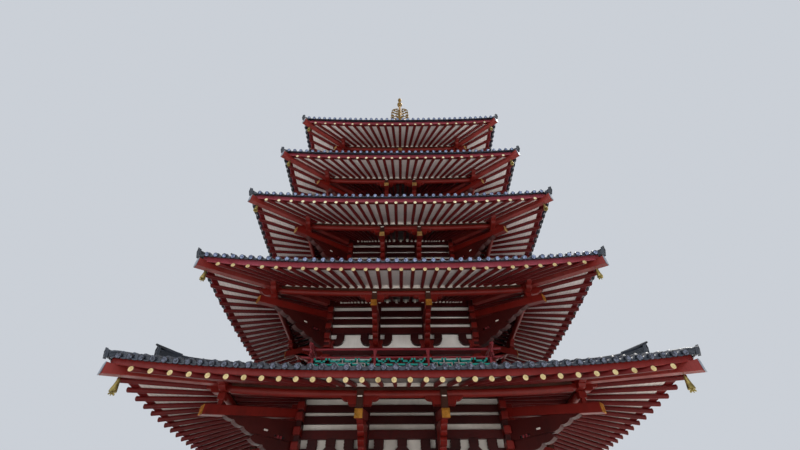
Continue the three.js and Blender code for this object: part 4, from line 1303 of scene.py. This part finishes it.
def lip():
    """The edge of a pan tile seen from the front: two arcs that meet in points under the discs, as a board."""
    y = np.linspace(-1, 1, 5) * (RIB_SPACING / 2 - 0.03)
    sag = 1 - (y / y[-1]) ** 2
    upper = np.column_stack([y, 0.012 - 0.040 * sag])
    lower = np.column_stack([y, -0.020 - 0.040 * sag])[::-1]
    return copies(plate(np.concatenate([lower, upper]), 0.035), ALONG)


LIP = lip()
DISC_UP = 0.301


def edge_places(s, y):
    """Places along the edge of the +X side, lifted with it."""
    out = s.eave + s.over
    z = s.eave_z + DISC_UP + s.tile_rise + float(corner_lift(s, s.eave)) * np.abs(y / out) ** LIFT_POWER
    return np.column_stack([np.full_like(y, out), y, z])


for s in storeys:
    count = int((s.eave - 0.06) / RIB_SPACING + 0.5)
    ribs = (np.arange(-count, count) + 0.5) * RIB_SPACING
    edge = roof_limits(s)[0]
    slope = float(tile_top(s, edge - 1.6) - tile_top(s, edge - 1.5)) / 0.1
    outwards = facing([[1, 0, -slope]])
    discs, rims = [copies(shape, outwards, edge_places(s, ribs) - [0.02, 0, 0]) for shape in (DISC, DISC_RIM)]
    pans = (np.arange(-count, count + 1)) * RIB_SPACING
    pans = pans[np.abs(pans) < s.eave - 0.05]
    lips = at(LIP, edge_places(s, pans) - [0.065, 0, 0.012])
    piece(f"tile_ends_{s.number}", on_four_sides(discs), TILE_END if s.number < 2 else LIT_TILE_END)
    piece(f"tile_rims_{s.number}", on_four_sides(rims), SHADED_TILE_RIM)
    piece(f"pan_lips_{s.number}", on_four_sides(lips), ROOF_TILE)

# %% [markdown]
# ### Hip ridges
# Flat tiles are stacked in layers along each hip with a round tile on top. The tall ridge ends short of the
# corner with an upturned end tile, and a low ridge goes on to the corner. Their profile is carried along the
# curve of the hip.

# %% Ridges and their end tiles
def ridge_profile(half, layers, height):
    """Layers of flat tiles, each with a lip that stands out, under a round cap."""
    steps = np.linspace(0, height, layers + 1)
    right = [[half, -0.10]]
    for low, high in zip(steps, steps[1:]):
        right += [[half, low], [half, high - 0.022], [half + 0.016, high - 0.02], [half + 0.016, high - 0.002]]
    cap = half * 0.72
    angle = np.linspace(0, math.pi, 7)
    top = np.column_stack([cap * np.cos(angle), height + cap * np.sin(angle)])
    right = np.array(right)
    return np.concatenate([right, top, (right * [-1, 1])[::-1]])


def ridge_path(s, start, end, kick):
    """Points along the hip on the tile tops, where the last stretch kicks up with the square of the way."""
    out = np.linspace(start, end, 13)
    z = tile_top(s, out) + corner_lift(s, out) - RIB_RADIUS
    z += kick * np.clip((out - (end - 0.9)) / 0.9, 0, 1) ** 2
    return np.column_stack([out * DIAGONAL, np.zeros_like(out), z])


TALL_SHORT = 0.75
END_FACE = outline((-0.13, -0.19, -0.03), (0.13, -0.19, 0), (0.15, 0.06, 0), (0.165, 0.13, -0.03),
                   (0.0, 0.27, -0.03), (-0.165, 0.13, 0), (-0.15, 0.06, 0))


def end_tile(scale, lean):
    """An end tile with a raised rim and a boss, facing +X; it leans outwards by the share of its height."""
    face = plate(END_FACE * scale, 0.05)
    rim = at(plate(END_FACE * scale, 0.03, holes=[END_FACE * scale * 0.76 + [0, 0.008]]), [[0, -0.035, 0]])
    boss = turned([[0.06 * scale, 0.0], [0.052 * scale, 0.022], [0.02 * scale, 0.034]], 14)
    boss = copies(boss, facing([[0, -1, 0]]), [[0, -0.025, 0.0]])
    leaning = np.array([[1, 0, 0], [0, 1, -lean], [0, 0, 1.0]])
    return copies(joined([face, rim, boss]), ALONG @ leaning)


def horn(tip, reach, size):
    """The top tile of a ridge end: it rises in a hollow curve to a blunt point over the end tile."""
    path = np.array([[-0.60, 0, -0.03], [-0.40, 0, -0.02], [-0.20, 0, 0.005], [-0.05, 0, 0.035], [reach, 0, 0.085]])
    t = np.linspace(0, 1, len(path))[:, None, None]
    ahead = unit(np.gradient(path, axis=0))
    across, up = np.array([0, 1.0, 0]), np.cross(ahead, [0, 1.0, 0])
    section = circle(1, 12) * [0.10, 0.07]
    rings = path[:, None] + (1 - 0.7 * t ** 3) * (section[:, :1] * across + section[:, 1:] * up[:, None])
    return copies(skin(rings), size * np.eye(3), [tip])


for s in storeys:
    edge, low, crown, high = roof_limits(s)
    tall_end, low_end = s.eave - TALL_SHORT, s.eave + (0.09 if s.number == 1 else 0.07) + s.hip
    tall = ridge_path(s, crown + 0.03, tall_end, 0.10) + [0, 0, 0.03]
    short = ridge_path(s, tall_end - 0.15, low_end, 0.0)
    end_size, horn_size = (0.6, 0.75) if s.number == 1 else (0.85, 0.9)
    shapes = [carried(ridge_profile(0.105, 3, 0.11), tall), carried(ridge_profile(0.085, 1, 0.02), short),
              at(end_tile(0.85, 0.2), [tall[-1] + [0.04, 0, 0.07]]),
              at(end_tile(end_size, 0.3), [short[-1] + [0.03, 0, 0]]),
              horn(tall[-1] + [0.03, 0, 0.20], 0.14, 1.1), horn(short[-1] + [0.02, 0, 0.06], 0.10, horn_size)]
    piece(f"hip_ridges_{s.number}", on_corners(joined(shapes)), RIDGE_TILE)
    if s.above:
        course_band = band(s, crown - 0.10, crown + 0.10, high - 0.12, high + 0.05, edge=0.02)
        piece(f"crown_tiles_{s.number}", course_band, RIDGE_TILE)

# %% [markdown]
# ## Railings
# Each upper storey has a narrow deck with three rails on posts. The rails run past each other at the corners and
# turn up at their ends, and a green key fret fills the space between the two lower rails. The fret is one short
# motif of bars, repeated along the side.

# %% Decks, rails and posts
RAIL_PAST = 0.48
RAIL_HEIGHTS = [0.11, 0.54, 0.89]


def rail(half, z, size, turn_up):
    """A rail as far out as it is long to each side, whose ends past the corner curve up with the square of the
    way."""
    y = np.concatenate([np.linspace(-half - RAIL_PAST, -half, 6), np.linspace(half, half + RAIL_PAST, 6)])
    rise = turn_up * (np.maximum(0, np.abs(y) - half) / RAIL_PAST) ** 2
    return carried(chamfered(size / 2, size / 2, 0.012), np.column_stack([np.full_like(y, half), y, z + rise]))


KNOB = turned([[0.026, -0.01], [0.040, 0.005], [0.028, 0.02], [0.052, 0.05], [0.060, 0.08], [0.046, 0.12],
               [0.016, 0.155], [0.006, 0.16]], 14)

for s in storeys[1:]:
    low, mid, top = [s.base + h for h in RAIL_HEIGHTS]
    rails = [rail(s.rail, *kind) for kind in ((low, 0.095, 0.0), (mid, 0.075, 0.02), (top, 0.08, 0.03))]
    posts = [timber([s.rail - 0.045, y - 0.045, s.base], [s.rail + 0.045, y + 0.045, top]) for y in s.lines]
    flare = plate([[-0.05, mid + 0.12], [0.05, mid + 0.12], [0.075, top - 0.06], [0.075, top - 0.045],
                   [-0.075, top - 0.045], [-0.075, top - 0.06]], 0.10)
    flares = copies(flare, ALONG, [[s.rail, y, 0] for y in s.lines])
    corner_post = timber([s.rail - 0.05, s.rail - 0.05, s.base], [s.rail + 0.05, s.rail + 0.05, mid + 0.06])
    foot, tip = np.array([s.rail * DIAGONAL, 0, mid]), np.array([s.rail * DIAGONAL + 0.22, 0, top + 0.17])
    stave = carried(circle(0.035, 10), np.stack([foot, tip]), [0, 1, 0])
    knobs = at(KNOB, [tip - [0.01, 0, 0.05], [s.rail * DIAGONAL + 0.14, 0, mid]])
    piece(f"corner_staves_{s.number}", on_corners(joined([stave, knobs])), RAIL_RED)
    piece(f"railing_{s.number}", on_four_sides(joined(rails + posts + [flares, corner_post])), RAIL_RED,
          [f"storey_{s.number}_railing"])
    deck = band(s, s.half - 0.30, s.rail + 0.08, s.base - 0.12, s.base, edge=0.015)
    piece(f"deck_{s.number}", deck, DECK_BROWN)

# %% Key fret
FRET_PERIOD = 0.54
FRET_BAR = 0.072
MOTIF = [(0.0, 0.66, 0.79, 0.66), (0.52, 0.26, 1.31, 0.26), (0.0, 0.66, 0.0, 1.0), (0.79, 0.66, 0.79, 1.0),
         (0.52, 0.26, 0.52, 0.66), (1.31, 0.0, 1.31, 0.26)]


def fret(s, start, end):
    """Between two posts: an upper bar that hangs from the rail by an upright at each end, and a lower bar that
    hangs from the middle of the upper one and stands on an upright at its far end. Heights and places are shares
    of the space between the rails and of the period."""
    low, high = s.base + RAIL_HEIGHTS[0] + 0.04, s.base + RAIL_HEIGHTS[1] - 0.035
    count = max(1, round((end - start) / FRET_PERIOD))
    period, height, b = (end - start) / count, high - low, FRET_BAR / 2
    bars = [(first + y0 * period, z0, first + y1 * period, z1)
            for first in start + (np.arange(count + 1) - 1 + 0.04) * period for y0, z0, y1, z1 in MOTIF]
    shapes = [slat([-b, max(y0, start) - b, low + z0 * height - b], [b, min(y1, end) + b, low + z1 * height + b])
              for y0, z0, y1, z1 in bars if y1 > start and y0 < end]
    return at(joined(shapes), [[s.rail, 0, 0]])


for s in storeys[1:]:
    stops = [-s.rail, *s.lines, s.rail]
    spans = [(a + 0.07, b - 0.07) for a, b in zip(stops, stops[1:])]
    piece(f"fret_{s.number}", on_four_sides(joined([fret(s, a, b) for a, b in spans])), FRET_GREEN)

# %% [markdown]
# ## Doors and windows
# The doors of the ground floor get bosses on their planks, and the windows beside them upright green bars in a red
# frame. On the decks above, a plank door closes the middle bay of each side.

# %% Ground floor doors and windows
ground = storeys[0]
DOOR_HALF = 0.95
DOOR_LOW, DOOR_HIGH = ground.base + 0.22, ground.base + 2.80
WINDOW_HALF = 0.64
WINDOW_LOW = ground.base + 1.0

boss = copies(turned([[0.035, 0.0], [0.030, 0.016], [0.014, 0.026]], 12), facing([[1, 0, 0]]))
leaf_front = ground.half - 0.11
boss_places = [[leaf_front, side * (0.14 + 0.19 * i), DOOR_LOW + 0.30 + 0.40 * j]
               for side in (-1, 1) for i in range(4) for j in range(6)]
piece("door_bosses", on_four_sides(at(boss, boss_places)), GILT)

BARS = 11


def framed(back, front, left, right, low, high):
    """A timber in the wall of the ground floor; its faces are given from the column line."""
    return timber([ground.half + back, left, low], [ground.half + front, right, high])


frames, bars = [], []
for side in (-1, 1):
    jamb = side * (DOOR_HALF + 0.05)
    frames.append(framed(-0.13, 0.03, jamb - 0.07, jamb + 0.07, ground.base + 0.01, DOOR_HIGH + 0.14))
    y = side * (ground.half + ground.centre_bay / 2) / 2
    frames += [framed(-0.14, 0.0, post - 0.06, post + 0.06, WINDOW_LOW - 0.08, DOOR_HIGH + 0.08)
               for post in (y - WINDOW_HALF, y + WINDOW_HALF)]
    frames += [framed(-0.14, 0.01, y - WINDOW_HALF - 0.06, y + WINDOW_HALF + 0.06, z - 0.07, z + 0.07)
               for z in (WINDOW_LOW, DOOR_HIGH)]
    upright = timber([ground.half - 0.16, y - 0.03, WINDOW_LOW], [ground.half - 0.10, y + 0.03, DOOR_HIGH], 0.01)
    offsets = (np.arange(BARS) - BARS // 2) * (2 * WINDOW_HALF - 0.10) / BARS
    bars.append(at(upright, [[0, offset, 0] for offset in offsets]))
piece("door_and_window_frames", on_four_sides(joined(frames)), VERMILION)
piece("window_bars", on_four_sides(joined(bars)), WINDOW_GREEN)

# %% Doors of the upper storeys
UPPER_DOOR_HALF = 0.62
PLANKS = 8

for s in storeys[1:]:
    if not s.centre_bay:
        continue
    half, width, high = UPPER_DOOR_HALF, 2 * UPPER_DOOR_HALF / PLANKS, s.eave_z + HEAD_LOW - 0.02
    plank = timber([s.half - 0.06, 0.003 - half, s.base + 0.12], [s.half - 0.02, width - 0.003 - half, high - 0.10],
                   0.006)
    leaves = at(plank, [[0, i * width, 0] for i in range(PLANKS)])
    surround = [timber([s.half - 0.06, y - 0.06, s.base], [s.half + 0.03, y + 0.06, high])
                for y in (-half - 0.05, half + 0.05)]
    surround += [timber([s.half - 0.06, -half - 0.1, z - 0.06], [s.half + 0.035, half + 0.1, z + 0.06])
                 for z in (s.base + 0.07, high - 0.06)]
    piece(f"upper_doors_{s.number}", on_four_sides(joined([leaves] + surround)), DOOR_RED)

# %% [markdown]
# ## Podium
# The podium is dry masonry: a plinth course, upright slabs between posts, a cap course and paving. Each stone is
# a block with worn edges, and a course is one block copied along the side.

# %% Podium stones
PODIUM_HALF = 6.40
PODIUM_HIGH = ground.base
SLABS = 12


def course(outer, inner, low, high, length, edge=0.012, joint=0.004):
    """Blocks of equal length along one side, the last ones ending at the corner, and copied to all sides."""
    count = round(2 * inner / length)
    width = (outer + inner) / count
    stone = timber([inner, joint - inner, low], [outer, width - joint - inner, high], edge)
    return on_four_sides(at(stone, [[0, i * width, 0] for i in range(count)]))


half, high = PODIUM_HALF, PODIUM_HIGH
core = timber([0.14 - half, 0.14 - half, 0.02], [half - 0.14, half - 0.14, high - 0.03])
post = timber([half - 0.20, -0.15, 0.20], [half - 0.06, 0.15, 1.0], 0.01)
posts = at(post, [[0, y, 0] for y in np.linspace(0.22 - half, half - 0.22, 8)])
podium = joined([
    core, course(half, half - 0.5, 0.0, 0.22, 1.3), course(half, half - 0.6, 0.98, high, 1.5),
    course(half - 0.10, half - 0.3, 0.20, 1.0, 0.9), on_four_sides(posts),
])
piece("podium_stones", podium, GRANITE, ["stone_podium"])
paved = half - 0.6
slab = 2 * paved / SLABS
start, end = 0.003 - paved, slab - 0.003 - paved
stone = timber([start, start, high - 0.06], [end, end, high - 0.002], 0.008)
paving = at(stone, [[i * slab, j * slab, 0] for i in range(SLABS) for j in range(SLABS)])
piece("podium_paving", paving, PAVING)
base_stone = turned([[0.30, high - 0.01], [0.32, high + 0.02], [0.30, high + 0.05], [0.24, high + 0.06]], 28)
base_stones = at(base_stone, [[ground.half, y, 0] for y in [-ground.half, *ground.lines]])
piece("column_base_stones", on_four_sides(base_stones), GRANITE)

# %% [markdown]
# ## Finial
# On the top roof stand a square dew basin, an inverted bowl and a lotus, then nine rings on spokes, the water
# flame and two jewels. Round pieces are turned, with petals made by a radius that swells with the angle. Each
# blade of the flame is a wavy rim filled with flat bars that leave the stem and curl up.

# %% Basin, bowl, lotus and rings
basin_profile = [
    [0.32, APEX], [0.755, APEX], [0.755, APEX + 0.10], [0.70, APEX + 0.14], [0.67, APEX + 0.20],
    [0.67, APEX + 0.54], [0.70, APEX + 0.58], [0.765, APEX + 0.63], [0.765, APEX + 0.78], [0.32, APEX + 0.785],
]
basin = square_ring(np.column_stack([basin_profile, np.zeros(len(basin_profile))]))


def petalled(profile, petals, swell, sides=96):
    """A turned shape whose radius grows by the swell times |sin| of the angle, once for each petal."""
    shape = turned(profile, sides)
    x, y, z = shape.points.T
    factor = 1 + swell * np.abs(np.sin(np.arctan2(y, x) * petals / 2))
    shape.points = np.column_stack([x * factor, y * factor, z])
    return shape


t = np.linspace(0, 1, 12)
bowl = turned(np.column_stack([0.62 * np.cos(t * 1.15), APEX + 0.78 + 0.60 * np.sin(t * 1.35)]), 40)
lotus = petalled([[0.25, APEX + 1.36], [0.34, APEX + 1.42], [0.50, APEX + 1.52], [0.58, APEX + 1.66],
                  [0.60, APEX + 1.78], [0.56, APEX + 1.83], [0.40, APEX + 1.80], [0.20, APEX + 1.72]], 8, 0.10)
sleeve = turned([[0.20, APEX + 1.66], [0.19, 30.0], [0.185, 34.15]], 24)
piece("finial_stand", joined([basin, bowl, lotus]), GILT, ["finial_base"], bevel=0.01)

rings = [sleeve]
spokes = np.array([turn(45 * i) for i in range(8)])
ring_bell = turned([[0.010, 0.0], [0.020, -0.02], [0.026, -0.08], [0.034, -0.11]], 8)
for z, radius in zip(np.linspace(29.10, 34.00, 9), np.linspace(0.85, 0.55, 9)):
    hoop = [[-0.085, -0.045], [-0.02, -0.06], [0, -0.045], [0, 0.045], [-0.02, 0.06], [-0.085, 0.045]]
    rings.append(turned(np.array(hoop) + [radius, z], 40, loop=True))
    spoke = timber([0.17, -0.022, z - 0.03], [radius - 0.04, 0.022, z + 0.03], 0.006)
    rings.append(copies(spoke, spokes, np.zeros((8, 3))))
    rings.append(turned([[0.19, z - 0.07], [0.235, z - 0.05], [0.235, z + 0.05], [0.19, z + 0.07]], 24))
    hung = np.pad(circle(radius - 0.04, 8, start=22.5), ((0, 0), (0, 1)), constant_values=z - 0.05)
    rings.append(at(ring_bell, hung))
piece("nine_rings", joined(rings), WORN_GILT, ["finial_rings"])

# %% Water flame and jewels
FLAME_BAR = chamfered(0.034, 0.042, 0.012)


def scroll(start, bend, centre, radius, turns):
    """A bar that sweeps from the stem past a bend and winds into a spiral: a curve through three points, then a
    circle about the centre whose radius shrinks evenly."""
    start, bend, centre = np.array(start), np.array(bend), np.array(centre)
    enter = centre + [0, -radius]
    t = np.linspace(0, 1, 10)[:-1, None]
    sweep = (1 - t) ** 2 * start + 2 * t * (1 - t) * bend + t ** 2 * enter
    angle = np.linspace(-math.pi / 2, -math.pi / 2 + turns * 2 * math.pi, 14)
    shrink = radius * np.linspace(1, 0.3, 14)
    spiral = centre + np.column_stack([shrink * np.cos(angle), shrink * np.sin(angle)])
    path = np.concatenate([sweep, spiral])
    return carried(FLAME_BAR, np.column_stack([path[:, 0], np.zeros(len(path)), path[:, 1]]), across=[0, 1, 0])


scrolls = [
    scroll((0.14, 34.75), (0.45, 34.70), (0.66, 34.98), 0.12, 0.85),
    scroll((0.14, 35.05), (0.28, 34.95), (0.37, 35.28), 0.11, -0.75),
    scroll((0.14, 35.20), (0.50, 35.10), (0.67, 35.40), 0.13, 0.85),
    scroll((0.14, 35.60), (0.28, 35.50), (0.40, 35.78), 0.11, -0.80),
    scroll((0.14, 35.75), (0.46, 35.66), (0.62, 35.98), 0.13, 0.85),
    scroll((0.14, 36.08), (0.24, 36.00), (0.33, 36.24), 0.10, -0.75),
    scroll((0.14, 36.15), (0.34, 36.10), (0.52, 36.44), 0.13, 0.80),
    scroll((0.12, 36.40), (0.18, 36.48), (0.28, 36.62), 0.08, 0.60),
]


def flame_rim():
    """The outline of a blade: up to three fifths a side with three waves, then a quarter of an ellipse inwards."""
    t = np.linspace(0, 1, 40)
    side, turn_in = np.clip(t / 0.6, 0, 1), np.clip((t - 0.6) / 0.4, 0, 1) * math.pi / 2
    x = 0.20 + (0.64 - 0.06 * side) * np.cos(turn_in) + 0.035 * np.sin(side * 6 * math.pi)
    return np.column_stack([x, np.zeros(40), 34.78 + 1.50 * side + 0.46 * np.sin(turn_in)])


blade = joined(scrolls + [carried(FLAME_BAR, flame_rim(), across=[0, 1, 0])])
collar = turned([[0.16, 34.16], [0.205, 34.18], [0.205, 34.32], [0.175, 34.36], [0.17, 36.30], [0.15, 36.34]], 24)
piece("flame", joined([on_four_sides(blade), collar]), WORN_GILT, ["water_flame"])


def jewel(low, widest, radius, high, foot):
    """A drop: round below and drawn to a point above, where the radius follows a cosine with a raised power."""
    t = np.linspace(0, 1, 18)
    z = low + t * (high - low)
    below = np.clip((z - low) / (widest - low), 0, 1)
    above = np.clip((z - widest) / (high - widest), 0, 1)
    r = radius * np.sqrt(np.maximum(0, 1 - (1 - below) ** 2)) * np.cos(above * math.pi / 2) ** 1.3
    return turned(np.column_stack([np.maximum(r, np.where(t < 0.5, foot, 0.003)), z]), 32)


stem = turned([[0.09, 37.15], [0.09, 37.22], [0.15, 37.26], [0.15, 37.30], [0.06, 37.34]], 24)
neck = turned([[0.055, 38.00], [0.055, 38.30], [0.10, 38.34], [0.10, 38.38], [0.05, 38.40]], 24)
jewels = joined([stem, jewel(37.28, 37.68, 0.255, 38.16, 0.05), neck, jewel(38.38, 38.64, 0.185, 39.2, 0.04)])
piece("jewels", jewels, WORN_GILT, ["finial_jewels"])
